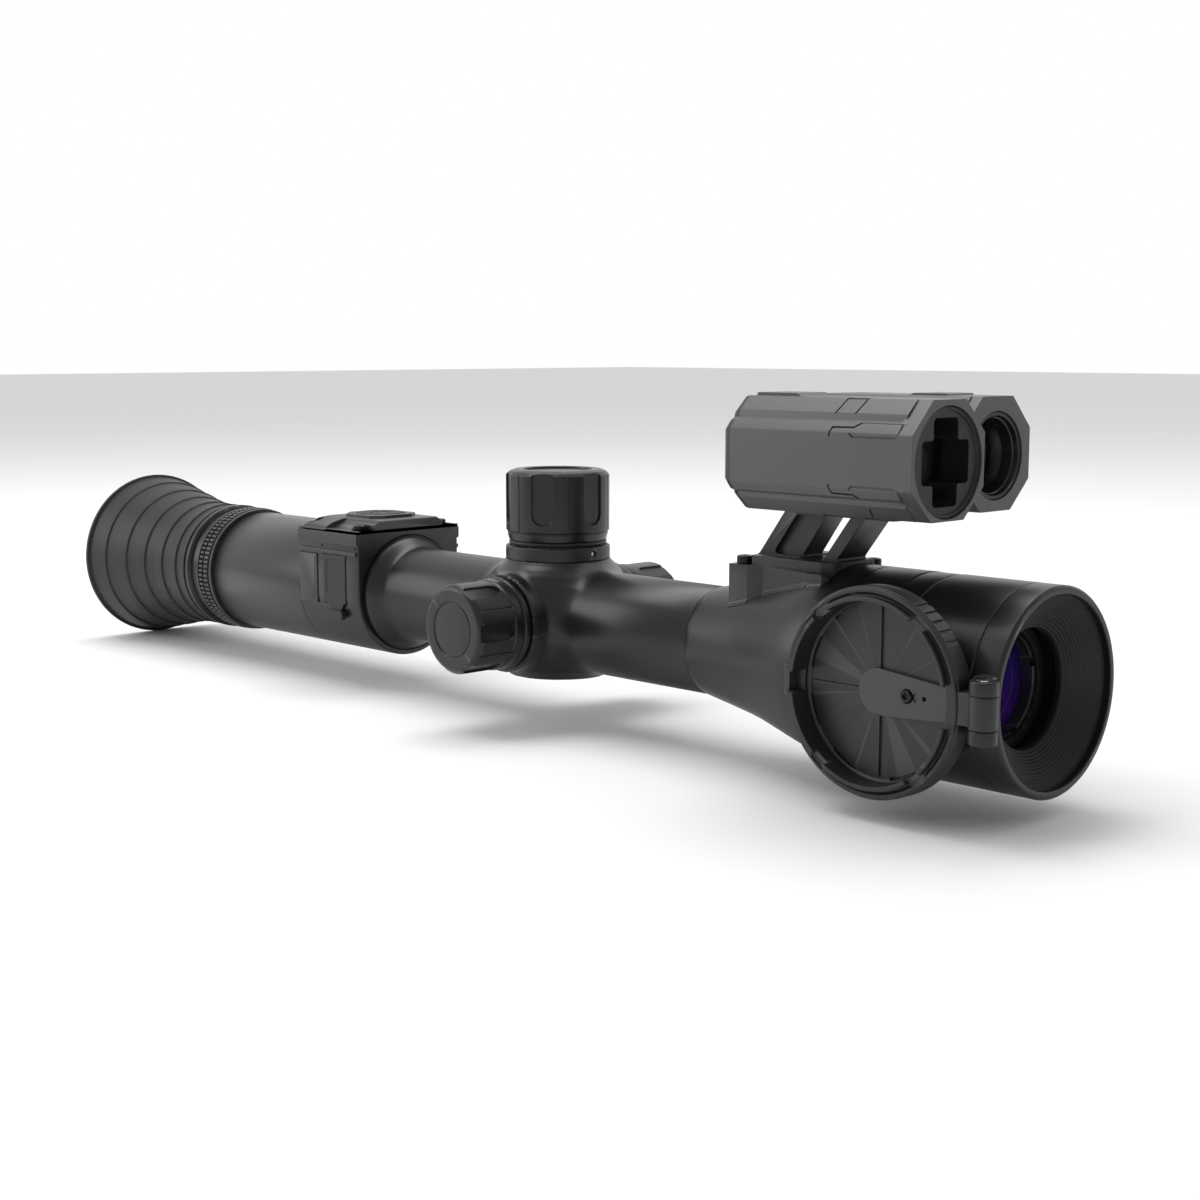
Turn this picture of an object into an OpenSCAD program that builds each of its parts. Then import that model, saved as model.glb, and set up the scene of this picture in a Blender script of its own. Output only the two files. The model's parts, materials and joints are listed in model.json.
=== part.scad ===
// Digital telescopic sight with a clip-on twin-barrel laser rangefinder.
// +X is the line of sight, +Z is up, +Y is the shooter's left.
// The origin is where the turret axis meets the optical axis.

/* [Main tube] */
// Diameter of the clamping tube
tube_d = 30; // [30:0.1:30]
// Wall of the clamping tube
tube_wall = 2.2; // [1.8:0.1:2.6]
// Where the tube meets the objective bell
tube_front = 66.5; // [64:0.5:68]

/* [Eyepiece] */
// Rear edge of the rubber eyecup
eyecup_rear = -231.5; // [-234:0.5:-229]
// Diameter of the eyecup at its rim
eyecup_d = 60.8; // [58:0.2:63]
// Rear end of the electronics housing
housing_rear = -157.5; // [-159:0.5:-156]

/* [Electronics housing] */
// Front face of the housing
housing_front = -72; // [-73:0.5:-71]
// Diameter of the round part, and width of the box above it
housing_d = 41.3; // [41:0.1:42]
// Length of the box that carries the buttons
box_len = 32.5; // [31:0.5:34]
// Height of the box's upper edge above the optical axis
box_top = 20.2; // [19.5:0.1:21]
// Height of the raised button deck
deck_top = 24.2; // [23.5:0.1:25]

/* [Turret] */
// Diameter of the battery cap
turret_d = 30.7; // [30:0.1:31.5]
// Top of the battery cap
turret_top = 44; // [43:0.5:45]
// Diameter of the side knobs
knob_d = 25.8; // [24:0.2:26.4]
// How far the side knobs reach from the optical axis
knob_reach = 41; // [40:0.5:42]

/* [Objective] */
// Diameter of the objective bell
bell_d = 50.6; // [50:0.1:51.2]
// Front face of the bell
bell_front = 171.9; // [170:0.5:173]
// Radius of the clear opening
mouth_r = 14.5; // [14:0.1:15]
// Focus position of the objective lens
lens_front = 156; // [155:0.5:157]

/* [Flip cap] */
// Diameter of the flip cap
cap_d = 50.4; // [50:0.1:50.8]
// Depth of the flip cap
cap_depth = 6.6; // [6:0.1:6.6]
// Angle that the cap stands open
cap_open = 270; // [180:5:270]

/* [Rangefinder] */
// Rear end of the rangefinder
lrf_rear = 91.5; // [90.5:0.5:93]
// Front face of the receiver barrel
rx_front = 150; // [149:0.5:151]
// Front face of the emitter barrel
tx_front = 142.5; // [141:0.5:144]
// Distance between the two barrels' axes
barrel_pitch = 30.5; // [30:0.2:31]
// Width of each eight-sided barrel across its flats
barrel_w = 28.4; // [27.8:0.2:29]
// Height of the barrels' axes
barrel_z = 53.3; // [53:0.1:54]

/* [Hidden] */

fine = 96;              // facets of a full turn in the preview; solids stay exact
slip = 0.05;            // radial clearance of a running fit
seam = 0.02;            // gap between two fixed pieces that meet
eps = 0.1;              // overshoot of a cut

tube_r = tube_d / 2;
tube_ri = tube_r - tube_wall;
housing_r = housing_d / 2;
box_rear = housing_front - box_len;
bell_r = bell_d / 2;
cap_r = cap_d / 2;

// ---- shared shapes -------------------------------------------------------

// Solid of revolution about the optical axis, from [x, radius] points
module rev(pts, a = 360) rotate([0, 90, 0]) rotate_extrude(angle = a, $fn = fine)
    polygon([for (p = pts) [p[1], p[0]]]);

// Cylinder along +X from x0 to x1
module rod_x(x0, x1, r) translate([x0, 0, 0]) rotate([0, 90, 0]) cylinder(h = x1 - x0, r = r, $fn = fine);

// Cylinder along +Y from y0 to y1
module rod_y(y0, y1, r) translate([0, y0, 0]) rotate([-90, 0, 0]) cylinder(h = y1 - y0, r = r, $fn = fine);

// Cylinder along +Z from z0 to z1
module rod_z(z0, z1, r) translate([0, 0, z0]) cylinder(h = z1 - z0, r = r, $fn = fine);

// Ring along X
module ring_x(x0, x1, ro, ri) difference() {
    rod_x(x0, x1, ro);
    rod_x(x0 - eps, x1 + eps, ri);
}

// Box given by its two corners
module span(a, b) translate(a) cube(b - a);

// Outline in the Y-Z plane, extruded along +X from x0 to x1; points are [y, z]
module slab_x(x0, x1, pts) translate([x0, 0, 0]) rotate([90, 0, 90])
    linear_extrude(height = x1 - x0) polygon(pts);

// Outline in the X-Z plane, extruded along +Y from y0 to y1; points are [x, z]
module slab_y(y0, y1, pts) translate([0, y1, 0]) rotate([90, 0, 0])
    linear_extrude(height = y1 - y0) polygon(pts);

// Socket-head screw with its axis on Z, head's underside at 0
module socket_screw(head_r, head_h, shank_r, shank_len) difference() {
    union() {
        rod_z(0, head_h, head_r);
        rod_z(-shank_len, eps, shank_r);
    }
    translate([0, 0, head_h * 0.45]) cylinder(h = head_h, r = head_r * 0.55, $fn = 6);
}

// The small housing screw
module small_screw() socket_screw(2, 1.6, 0.93, 7.5);

// Wire coil about Z: mean radius, wire radius, turns and height, as one swept solid
function coil_pt(r, rise, a) = [r * cos(a), r * sin(a), rise * a / 360];
module coil(r, wire, turns, height) {
    steps = 14;                     // rings in one turn
    sides = 6;
    rise = height / turns;
    count = round(turns * steps);
    rings = [for (i = [0:count]) let (a = i * 360 / steps, c = coil_pt(r, rise, a))
        for (k = [0:sides - 1]) let (b = k * 360 / sides)
            [c[0] + wire * cos(b) * cos(a), c[1] + wire * cos(b) * sin(a), c[2] + wire * sin(b)]];
    walls = [for (i = [0:count - 1]) for (k = [0:sides - 1]) let (n = (k + 1) % sides)
        [i * sides + k, (i + 1) * sides + k, (i + 1) * sides + n, i * sides + n]];
    ends = [[for (k = [0:sides - 1]) k], [for (k = [sides - 1:-1:0]) count * sides + k]];
    polyhedron(points = rings, faces = concat(walls, ends), convexity = 6);
}

// ---- eyepiece ------------------------------------------------------------

eyecup_r = eyecup_d / 2;
eyecup_steps = [-220.4, -209.4, -199.6, -189.8, -181];    // ledges of the bellows
eyecup_front = -175;
eyecup_wall = 1.7;
barrel_or = 19.6;       // ocular barrel, outside
barrel_ir = 17.4;       // ocular barrel, inside
diopter_r = 22;
diopter_front = housing_rear - 0.6;
diopter_rear = -167.2;

// Outer radius of the eyecup: a straight flare that turns into a sleeve
function cup_r(x) = x < -198 ? eyecup_r - (x - eyecup_rear) * 0.207
    : 22.2 + 1.27 * pow((x + 182) / 16, 2) * (x < -182 ? 1 : 0);

module eyecup() color([0.07, 0.07, 0.075]) {
    ledge = 0.45;
    marks = concat([eyecup_rear + 1.6], eyecup_steps, [eyecup_front]);
    outer = concat([[eyecup_rear, eyecup_r - 1.2], [eyecup_rear, eyecup_r], [eyecup_rear + 1.6, eyecup_r]],
        [for (i = [0:len(marks) - 2]) for (s = [0, 1]) s == 0
            ? [marks[i] + (i == 0 ? 0.01 : 0), cup_r(marks[i]) - (i == 0 ? 0.3 : ledge)]
            : [marks[i + 1], cup_r(marks[i + 1]) + 0.02]],
        [[eyecup_front, barrel_or + seam]]);
    inner = [[-187, barrel_or + seam], [-187, 20.2], [-198, cup_r(-198) - eyecup_wall],
        [-212, cup_r(-212) - eyecup_wall]];
    rev(concat(outer, inner));
}

module eyecup_ring() color([0.2, 0.2, 0.21]) rev([[eyecup_front + 0.05, barrel_or + seam],
    [eyecup_front + 0.05, 21.9], [-173.6, 22.3], [-172.2, 22.3], [-171.6, 21.6],
    [-171.6, 20.9], [-167.6, 20.9], [-167.6, barrel_or + seam]]);

module ocular_barrel() color([0.12, 0.12, 0.125]) difference() {
    rev([[-186, barrel_ir], [-186, barrel_or], [housing_rear - seam, barrel_or], [housing_rear - seam,
        18.95],
        [-149, 18.95], [-149, barrel_ir]]);
    // slots of the focusing key
    for (s = [0, 180]) rotate([s, 0, 0]) span([-165.6, -1.3, 0], [-160.4, 1.3, 30]);
}

module diopter_ring() color([0.1, 0.1, 0.105]) difference() {
    teeth = 60;
    union() {
        ring_x(diopter_rear, diopter_front, diopter_r - 0.7, barrel_or + slip);
        ring_x(diopter_rear, diopter_rear + 0.8, diopter_r - 0.2, barrel_or + slip);
        for (i = [0:teeth - 1]) rotate([i * 360 / teeth, 0, 0])
            span([diopter_rear + 2, -0.65, diopter_r - 1.2], [diopter_front - 1.2, 0.65, diopter_r]);
    }
}

cell_r = barrel_ir - slip;
module eyepiece_cell() color([0.13, 0.13, 0.13]) {
    rev([[-182.5, 14.2], [-182.5, cell_r], [-156, cell_r], [-156, 14.2], [-158, 14.2], [-158, 15.05],
        [-163.05, 15.05], [-163.05, 13.6], [-172.95, 13.6], [-172.95, 15.05], [-181.5, 15.05], [-181.5,
        14.2]]);
    // key pins that run in the barrel's slots
    for (s = [0, 180]) rotate([s, 0, 0]) translate([-163, 0, 0]) rod_z(barrel_ir - 1, barrel_or - 0.3, 0.9);
}

module eye_lens() color([0.55, 0.6, 0.75, 0.5]) rev([[-181.2, 0], [-181.1, 4], [-180.7, 8], [-180, 12],
    [-179.2, 15], [-175, 15], [-174.1, 10], [-173.7, 5], [-173.6, 0]]);

module field_lens() color([0.55, 0.6, 0.75, 0.5]) rev([[-162.6, 0], [-162.4, 6], [-161.6, 12],
    [-161, 15], [-159.4, 15], [-159.4, 0]]);

module display() color([0.05, 0.05, 0.08]) span([-147.6, -6.6, -5.2], [-145.9, 6.6, 5.2]);

module display_board() color([0.05, 0.3, 0.12]) difference() {
    rod_x(-145.8, -144.2, housing_ri - 0.05);
    for (s = [-1, 1]) translate([0, 0, s * 15]) span([-147, -6, -2], [-143, 6, 2]);
}

// ---- electronics housing -------------------------------------------------

housing_ri = 19;
ledge_z = 13.1;          // door ledge, lower face
flange_z = 16.4;         // upper flange, lower face
port_x = -84.7;          // middle of the connector
port_z = 4.5;

module u_outline(r, top) {
    circle(r = r, $fn = fine);
    translate([-r, 0]) square([2 * r, top]);
}

module rear_housing() color([0.11, 0.11, 0.12]) difference() {
    union() {
        rod_x(housing_rear, housing_front, housing_r);
        translate([box_rear, 0, 0]) rotate([90, 0, 90]) linear_extrude(height = box_len)
            u_outline(housing_r, box_top);
        for (s = [-1, 1]) {
            // upper flange and door ledge on both flanks
            span([box_rear, s > 0 ? housing_r - 1 : -housing_r - 0.5, flange_z],
                [housing_front, s > 0 ? housing_r + 0.5 : -housing_r + 1, box_top]);
            span([box_rear, s > 0 ? housing_r - 1 : -housing_r - 0.7, ledge_z],
                [housing_front - 0.6, s > 0 ? housing_r + 0.7 : -housing_r + 1, ledge_z + 1.5]);
        }
        // collar round the tube's root
        rod_x(housing_front - 1, housing_front + 0.8, 18.6);
        // screw bosses inside the box
        for (x = [box_rear + 4.5, housing_front - 4.5]) for (y = [-16.6, 16.6])
            translate([x, y, 9]) rod_z(0, box_top - 9, 2.6);
    }
    difference() {
        union() {
            rod_x(housing_rear - eps, housing_front - 3, housing_ri);
            span([box_rear + 2.2, -housing_ri, 0], [housing_front - 3, housing_ri, box_top + eps]);
        }
        for (x = [box_rear + 4.5, housing_front - 4.5]) for (y = [-16.6, 16.6])
            translate([x, y, 9]) rod_z(0, box_top - 9, 2.6);
        // rib between the round part and the box
        difference() {
            span([box_rear - 2, -30, 0], [box_rear, 30, 30]);
            rod_x(box_rear - 3, box_rear + 1, 15);
        }
    }
    rod_x(housing_front - 4, housing_front + 2, tube_r + seam);
    // flat seat of the cover
    span([box_rear, -30, box_top], [housing_front, 30, 30]);
    for (x = [box_rear + 4.5, housing_front - 4.5]) for (y = [-16.6, 16.6])
        translate([x, y, 12]) rod_z(0, 12, 0.95);
    // window of the connector and the seat of its rubber door
    span([port_x - 1.8, -30, port_z - 4.7], [port_x + 1.8, -15, port_z + 4.7]);
    span([port_x - 6.2, -30, port_z - 7.6], [port_x + 6.2, -housing_r + 0.9, ledge_z - 0.05]);
    span([port_x - 2.6, -30, port_z - 11], [port_x + 5, -housing_r + 0.55, port_z - 7.5]);
    // bearing holes of the door's hinge pins
    translate([port_x, door_y, door_z]) rod_x(-7, 7, 0.4);
    // seat of the side plate
    span([box_rear + 0.6, -30, -3.6], [box_rear + 10.4, -housing_r + 0.5, 12.6]);
}

module side_plate() color([0.16, 0.16, 0.17])
    span([box_rear + 0.65, -housing_r - 0.35, -3.5], [box_rear + 10.35, -housing_r + 0.48, 12.5]);

door_y = -housing_r + 0.05;      // hinge line of the rubber door
door_z = ledge_z - 0.6;
module usb_door() color([0.06, 0.06, 0.065]) {
    span([port_x - 6.05, -housing_r - 0.3, port_z - 7.5], [port_x + 6.05, -housing_r + 0.6, ledge_z - 0.2]);
    translate([port_x, door_y, door_z]) rod_x(-6.8, 6.8, 0.35);
    // oval pull tab and its neck
    translate([port_x + 1.3, 0, port_z - 11]) intersection() {
        translate([0, -housing_r + 0.4, 0]) rotate([90, 0, 0]) cylinder(h = 2, r = 4.6, $fn = fine);
        span([-4.6, -housing_r - 2, -1.9], [4.6, -housing_r + 1, 1.9]);
    }
    span([port_x - 2, -housing_r - 0.1, port_z - 10], [port_x + 4.4, -housing_r + 0.4, port_z - 7]);
    // plug that seals the connector
    span([port_x - 1.1, -housing_r + 0.5, port_z - 3.6], [port_x + 1.1, -housing_r + 2.3, port_z + 3.6]);
}

module usb_port() color([0.75, 0.75, 0.77]) difference() {
    span([port_x - 1.6, -18.2, port_z - 4.5], [port_x + 1.6, -10.8, port_z + 4.5]);
    span([port_x - 1.3, -18.3, port_z - 4.15], [port_x + 1.3, -11.2, port_z + 4.15]);
}

pad_x = -87;             // middle of the button pad
deck_half = 11.8;        // half width of the raised deck
arch_front = -89.2;
arch_rear = -102.5;

module top_cover() color([0.13, 0.13, 0.135]) {
    base = box_top + seam;
    difference() {
        union() {
            // flange plate
            span([box_rear, -housing_r, base], [housing_front, housing_r, base + 1]);
            // front deck with hollowed flanks
            slab_x(arch_front, housing_front, concat(
                [[-housing_r, base], [housing_r, base]],
                [for (i = [0:8]) let (t = i / 8) [housing_r - (housing_r - deck_half) * t,
                    base + 0.8 + (deck_top - base - 0.8) * pow(t, 1.7)]],
                [for (i = [8:-1:0]) let (t = i / 8) [-housing_r + (housing_r - deck_half) * t,
                    base + 0.8 + (deck_top - base - 0.8) * pow(t, 1.7)]]));
            // rear bridge with rounded flanks
            slab_x(arch_rear, arch_front, concat(
                [[-housing_r, base], [housing_r, base]],
                [for (i = [0:8]) let (a = i * 90 / 8) [deck_half - 3 + (housing_r - deck_half + 3) * cos(a),
                    base + 0.4 + (deck_top - base - 0.4) * sin(a)]],
                [for (i = [8:-1:0]) let (a = i * 90 / 8) [-deck_half + 3 - (housing_r - deck_half + 3) *
                cos(a),
                    base + 0.4 + (deck_top - base - 0.4) * sin(a)]]));
            // six-sided button pad
            translate([pad_x, 0, 0]) linear_extrude(height = deck_top + 0.9)
                polygon([[-10.6, -4.5], [-6, -9.6], [6.5, -9.6], [9.6, -5.5], [9.6, 5.5], [6.5, 9.6],
                    [-6, 9.6], [-10.6, 4.5]]);
        }
        // underside and hollow
        span([box_rear - 1, -30, -1], [housing_front + 1, 30, base]);
        span([box_rear + 3, -deck_half, base - eps], [housing_front - 2.4, deck_half, deck_top - 1.8]);
        // button openings
        translate([pad_x, 0, 0]) rod_z(0, 30, 8.1);
        // screw pockets
        for (x = [box_rear + 4.5, housing_front - 4.5]) for (y = [-16.6, 16.6]) translate([x, y, 0]) {
            rod_z(base + 0.9, 30, 2.6);
            rod_z(0, 30, 1.25);
        }
        for (s = [-1, 1]) span([housing_front - 4.5, s * 16.6 - 2.6, base + 0.9],
            [housing_front + 1, s * 16.6 + 2.6, 30]);
    }
}

module cover_screws() color([0.3, 0.3, 0.31]) {
    for (x = [box_rear + 4.5, housing_front - 4.5]) for (y = [-16.6, 16.6])
        translate([x, y, box_top + seam + 0.92]) small_screw();
    for (p = lrf_screw_at) translate([lrf_rear + 1.62, p[0], p[1]]) rotate([0, -90, 0]) small_screw();
}

key_gap = 0.25;
module dpad() color([0.08, 0.08, 0.085]) translate([pad_x, 0, 0]) difference() {
    union() {
        rod_z(deck_top - 0.6, deck_top + 1.2, 8.1 - key_gap);
        rod_z(deck_top - 2.6, deck_top - 1.6 - key_gap, 9);
        rod_z(deck_top - 2.6, deck_top, 8.1 - key_gap);
        // feet over the tact switches
        for (a = [0:90:270]) rotate([0, 0, a]) translate([6, 0, 0]) rod_z(deck_top - 3.6, deck_top - 2,
            0.9);
    }
    rod_z(0, 40, 3.4);
    // grooves between the four directions
    for (a = [45, 135]) rotate([0, 0, a]) span([-9, -0.35, deck_top + 0.6], [9, 0.35, 30]);
}

module ok_button() color([0.1, 0.1, 0.105]) translate([pad_x, 0, 0]) {
    rod_z(deck_top - 3.6, deck_top + 1.0, 3.4 - key_gap);
    rod_z(deck_top - 3.6, deck_top - 3.2, 4.2);
}

board_z = 15.5;
module key_board() color([0.05, 0.3, 0.12]) {
    span([box_rear + 8, -13, board_z + 1.6], [housing_front - 8, 13, board_z + 2.8]);
    // tact switches under the four directions and the middle key
    for (p = [[6, 0], [-6, 0], [0, 6], [0, -6], [0, 0]]) translate([pad_x + p[0], p[1], 0])
        span([-1.5, -1.5, board_z + 2.8], [1.5, 1.5, deck_top - 4.2]);
}

module main_board() color([0.05, 0.3, 0.12]) {
    span([-139, -8.6, -13.6], [-78, 8.6, -12]);
    // chips
    for (c = [[-128, 0, 7], [-112, 2, 5], [-99, -1, 6], [-89, 1, 3.5]])
        translate([c[0], c[1], -12.1]) span([-c[2], -c[2] * 0.8, 0], [c[2], c[2] * 0.8, 1.5]);
    // upright card behind the connector
    span([port_x - 6, -10.75, -13.6], [port_x + 6, -9.4, 11]);
    span([port_x - 6, -9.6, -13.6], [port_x + 6, -8.5, -12]);
}

// ---- tube and turret -----------------------------------------------------

saddle_top = 17.6;
saddle_bottom = -17;
boss_r = 14.4;           // side bosses under the knobs
boss_y = 22.4;
well_floor = 5.2;
neck_r = 11.2;           // threaded neck that carries the battery cap
neck_top = 40.5;
shaft_r = 2.5;

module saddle_solid() {
    // barrel-shaped turret body
    rotate_extrude($fn = fine) polygon([[0, saddle_bottom], [14.6, saddle_bottom], [17.2, -14.5], [19.6,
        -10.5],
        [21.1, -5], [21.5, 0], [21.3, 5], [20.3, 11], [18.9, 13.8], [17.4, 15.6], [15.8, 17], [15.6,
        saddle_top],
        [0, saddle_top]]);
    // blends to the tube, fore and aft
    intersection() {
        span([-30, -30, saddle_bottom], [30, 30, saddle_top]);
        for (s = [0, 1]) mirror([s, 0, 0]) rev([[10, 0], [10, 19], [14, 18], [17, 17], [19.5, 16.1],
            [22.5, 15.4], [25.5, tube_r], [25.5, 0]]);
    }
    rod_y(-boss_y, boss_y, boss_r);
}

module main_tube() color([0.1, 0.1, 0.105]) difference() {
    union() {
        rev([[housing_front - 3.5, 0], [housing_front - 3.5, tube_r], [housing_front + 0.82, tube_r],
            [housing_front + 0.82, 18.3], [housing_front + 1.6, 18.3], [-66.5, tube_r], [tube_front,
            tube_r],
            [tube_front, 13.9], [tube_front + 8, 13.9], [tube_front + 8, 0]]);
        saddle_solid();
    }
    rod_x(housing_front - 5, -10.6, tube_ri);
    rod_x(10.6, tube_front + 10, tube_ri);
    // passage of the rack and the ribbon under the battery well
    span([-11, -6, -10.5], [11, 6, -2.4]);
    rod_y(-8, 8, 4.2);
    // battery well
    rod_z(well_floor - 0.6, saddle_top + 1, 9.6);
    // bearings of the two knob shafts
    rod_y(-boss_y - 1, -6, shaft_r + slip);
    rod_y(6, boss_y + 1, shaft_r + slip);
    rod_y(-boss_y - 1, -boss_y + 4.5, 8.2);
}

module base_ring() color([0.12, 0.12, 0.13]) difference() {
    rod_z(saddle_top + seam, 21.6, 15.5);
    rod_z(0, 30, 12.6);
    // index pin hole and the two locking-screw holes
    for (a = [0, 120, 240]) rotate([0, 0, a]) translate([0, 0, 19.7]) rod_x(13.6, 17, 0.95);
    rod_z(21.1, 22, 14.2);
}

module battery_well() color([0.35, 0.35, 0.36]) difference() {
    union() {
        rod_z(well_floor - 0.5, neck_top, 9.55);
        rod_z(saddle_top + 0.1, neck_top, neck_r);
        rod_z(saddle_top + 0.1, saddle_top + 2, 12.5);
    }
    rod_z(well_floor + 0.7, neck_top + 1, 8.75);
    // O-ring groove
    difference() {
        rod_z(22.6, 24.6, neck_r + 1);
        rod_z(22.6, 24.6, neck_r - 1);
    }
}

battery_bottom = 7.4;
battery_len = 31.4;
module battery() color([0.2, 0.35, 0.6]) {
    rod_z(battery_bottom, battery_bottom + battery_len, 8.4);
    rod_z(battery_bottom + battery_len - eps, battery_bottom + battery_len + 1.1, 2.6);
}

module battery_spring() color([0.7, 0.65, 0.45])
    translate([0, 0, well_floor + 0.95]) coil(4, 0.22, 2.2, battery_bottom - well_floor - 1.25);

disc_z = 40.0;
module contact_disc() color([0.8, 0.68, 0.4]) {
    rod_z(disc_z, disc_z + 0.8, 7.8);
    rod_z(disc_z + 0.7, disc_z + 2.2, 2);
}

turret_r = turret_d / 2;
skirt_z = 25.8;
module battery_cap() color([0.09, 0.09, 0.095]) difference() {
    union() {
        rotate_extrude($fn = fine) polygon([[0, skirt_z], [turret_r - 0.3, skirt_z], [turret_r,
            skirt_z + 0.3],
            [turret_r, turret_top - 2.6], [turret_r - 2.6, turret_top - 0.9], [turret_r - 4.4, turret_top],
            [0, turret_top]]);
        rotate_extrude($fn = fine) polygon([[0, 21.75], [13.9, 21.75], [13.9, 21.95], [13.2, 21.95],
            [13.2, 23.2],
            [14.5, 23.3], [15, skirt_z - 0.4], [15, skirt_z + 0.1], [0, skirt_z + 0.1]]);
    }
    // recessed disc on top
    rod_z(turret_top - 0.7, turret_top + 1, turret_r - 5.2);
    // hollow for the neck, the battery's end and the contact disc
    rod_z(0, neck_top + 0.3, neck_r + slip);
    rod_z(0, disc_z + 2.6, 8);
    // six U-shaped flutes and the index lines between them
    for (a = [0:60:300]) rotate([0, 0, a]) {
        translate([turret_r - 0.9, 0, 31.4]) rotate([0, 90, 0]) cylinder(h = 4, r = 3.3, $fn = fine);
        span([turret_r - 0.9, -3.3, 31.4], [turret_r + 2, 3.3, turret_top + 1]);
        rotate([0, 0, 30]) span([turret_r - 0.35, -0.25, skirt_z - 1], [turret_r + 1, 0.25, turret_top]);
    }
}

module cap_oring() color([0.04, 0.04, 0.04])
    rotate_extrude($fn = fine) translate([13.95, 22.58]) circle(r = 0.6, $fn = 16);

// Knob on the +Y side with its skirt at the boss; open flutes run to its outer end
module side_knob() {
    knob_r = knob_d / 2;
    difference() {
        rotate([-90, 0, 0]) rotate_extrude($fn = fine) polygon([[shaft_r - 0.01, boss_y + 0.35], [13.6,
            boss_y + 0.35],
            [13.6, boss_y + 2.2], [13.1, boss_y + 2.5], [13.1, boss_y + 3.1], [knob_r + 0.3, boss_y + 3.1],
            [knob_r + 0.3, boss_y + 5.2], [knob_r, boss_y + 5.6], [knob_r, knob_reach - 1.2],
            [knob_r - 1.2, knob_reach], [8.1, knob_reach], [8.1, knob_reach - 0.4], [shaft_r - 0.01,
            knob_reach - 0.4]]);
        for (a = [0:60:300]) rotate([0, a, 0]) {
            translate([knob_r - 0.8, boss_y + 8.2, 0]) rotate([0, 90, 0]) cylinder(h = 3, r = 2.6,
                $fn = fine);
            span([knob_r - 0.8, boss_y + 8.2, -2.6], [knob_r + 2, knob_reach + 1, 2.6]);
            rotate([0, 30, 0]) span([knob_r - 0.3, boss_y + 5, -0.2], [knob_r + 1, knob_reach, 0.2]);
        }
    }
    rod_y(boss_y - 14, knob_reach - 0.5, shaft_r);
}

module menu_knob() color([0.09, 0.09, 0.095]) mirror([0, 1, 0]) side_knob();

module menu_encoder() color([0.2, 0.2, 0.2]) difference() {
    rod_y(-boss_y + 0.3, -boss_y + 4.3, 8);
    rod_y(-boss_y - 1, 0, shaft_r + slip);
}

module focus_knob() color([0.09, 0.09, 0.095]) side_knob();

// ---- focus drive ---------------------------------------------------------

gear_m = 0.5;            // module
gear_n = 12;             // teeth of the pinion
gear_r = gear_m * gear_n / 2;
gear_pa = 22;            // pressure angle
backlash = 0.16;

function involute(rb, t) = [rb * (cos(t) + t * PI / 180 * sin(t)), rb * (sin(t) - t * PI / 180 * cos(t))];
function roll(rb, r) = sqrt(pow(r / rb, 2) - 1) * 180 / PI;
function turn(p, a) = [p[0] * cos(a) - p[1] * sin(a), p[0] * sin(a) + p[1] * cos(a)];

// One pinion tooth about +X: its two involute flanks, thinned by the backlash
module tooth() {
    rb = gear_r * cos(gear_pa);
    ra = gear_r + gear_m * 0.85;
    rf = gear_r - gear_m * 1.15;
    at_pitch = let (p = involute(rb, roll(rb, gear_r))) atan2(p[1], p[0]);
    half = 90 / gear_n - backlash / 2 / gear_r * 180 / PI / 2 + at_pitch;
    flank = [for (i = [0:5]) turn(involute(rb, roll(rb, rb + (ra - rb) * i / 5)), -half)];
    polygon(concat([[rf * cos(half) - 0.3, -rf * sin(half)]], flank,
        [for (i = [5:-1:0]) [flank[i][0], -flank[i][1]]], [[rf * cos(half) - 0.3, rf * sin(half)]]));
}

module focus_pinion() color([0.75, 0.6, 0.3]) {
    gear();
    rod_y(3.9, boss_y - 14 - seam, shaft_r);
}

module gear() rotate([90, 0, 0]) translate([0, 0, -4]) linear_extrude(height = 8) {
    circle(r = gear_r - gear_m * 1.15, $fn = fine);
    // a space faces the rack at rest
    for (i = [0:gear_n - 1]) rotate(i * 360 / gear_n + 15) tooth();
}

rack_half = 1.6;
module focus_rack() color([0.7, 0.7, 0.72]) {
    pitch = PI * gear_m;
    line = -gear_r;                         // pitch line
    root = line - gear_m * 1.15;
    tip = line + gear_m * 0.85;
    w = pitch / 2 - backlash / 2;
    lean = tan(gear_pa);
    slab_y(-rack_half, rack_half, concat(
        [[-9.5, root - 2], [-9.5, root]],
        [for (i = [-5:5]) for (q = [[-w / 2 - lean * (line - root), root], [-w / 2 + lean * (tip - line),
        tip],
            [w / 2 - lean * (tip - line), tip], [w / 2 + lean * (line - root), root]]) [i * pitch + q[0],
            q[1]]],
        [[95.3, root], [95.3, -14.2], [118.96, -14.2], [118.96, -19.4], [117, -19.4], [117, -16.4],
            [92.3, -16.4], [92.3, root - 2]]));
}

// ---- objective -----------------------------------------------------------

bell_wall = 2.3;
bell_split = 121.8;      // joint between bell and front barrel
lock_x0 = 134.9;
lock_x1 = 142.9;
ring_x0 = 164.5;         // rear edge of the hinge ring
guide_r = 21;            // bore that guides the lens cell

bell_profile = [[tube_front, 15.3], [73, 16.4], [79, 17.4], [85, 18.6], [90, 19.7], [96, 21.5], [102, 23.3],
    [107, 24.6], [112, bell_r]];

// Pedestal outline in plan, [x, y]: rear lug, waist and front lug
pedestal = [[79.5, -12.2], [86, -12.2], [90.5, -11], [106.8, -13.4], [107.6, -14.3], [112.4, -14.3],
    [113.1, -13.6], [115, 2], [116, 11], [114.8, 12.2], [107, 12.2], [103, 11], [91, 11], [85, 9], [79.5,
    2]];
pedestal_top = 21.7;
flange_top = 23.6;
bolt_a = [82.8, -9.4];   // rear bolt, on the near side
bolt_b = [110.4, 9.2];   // front bolt, on the far side
bolt_len = 4.6;

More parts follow.
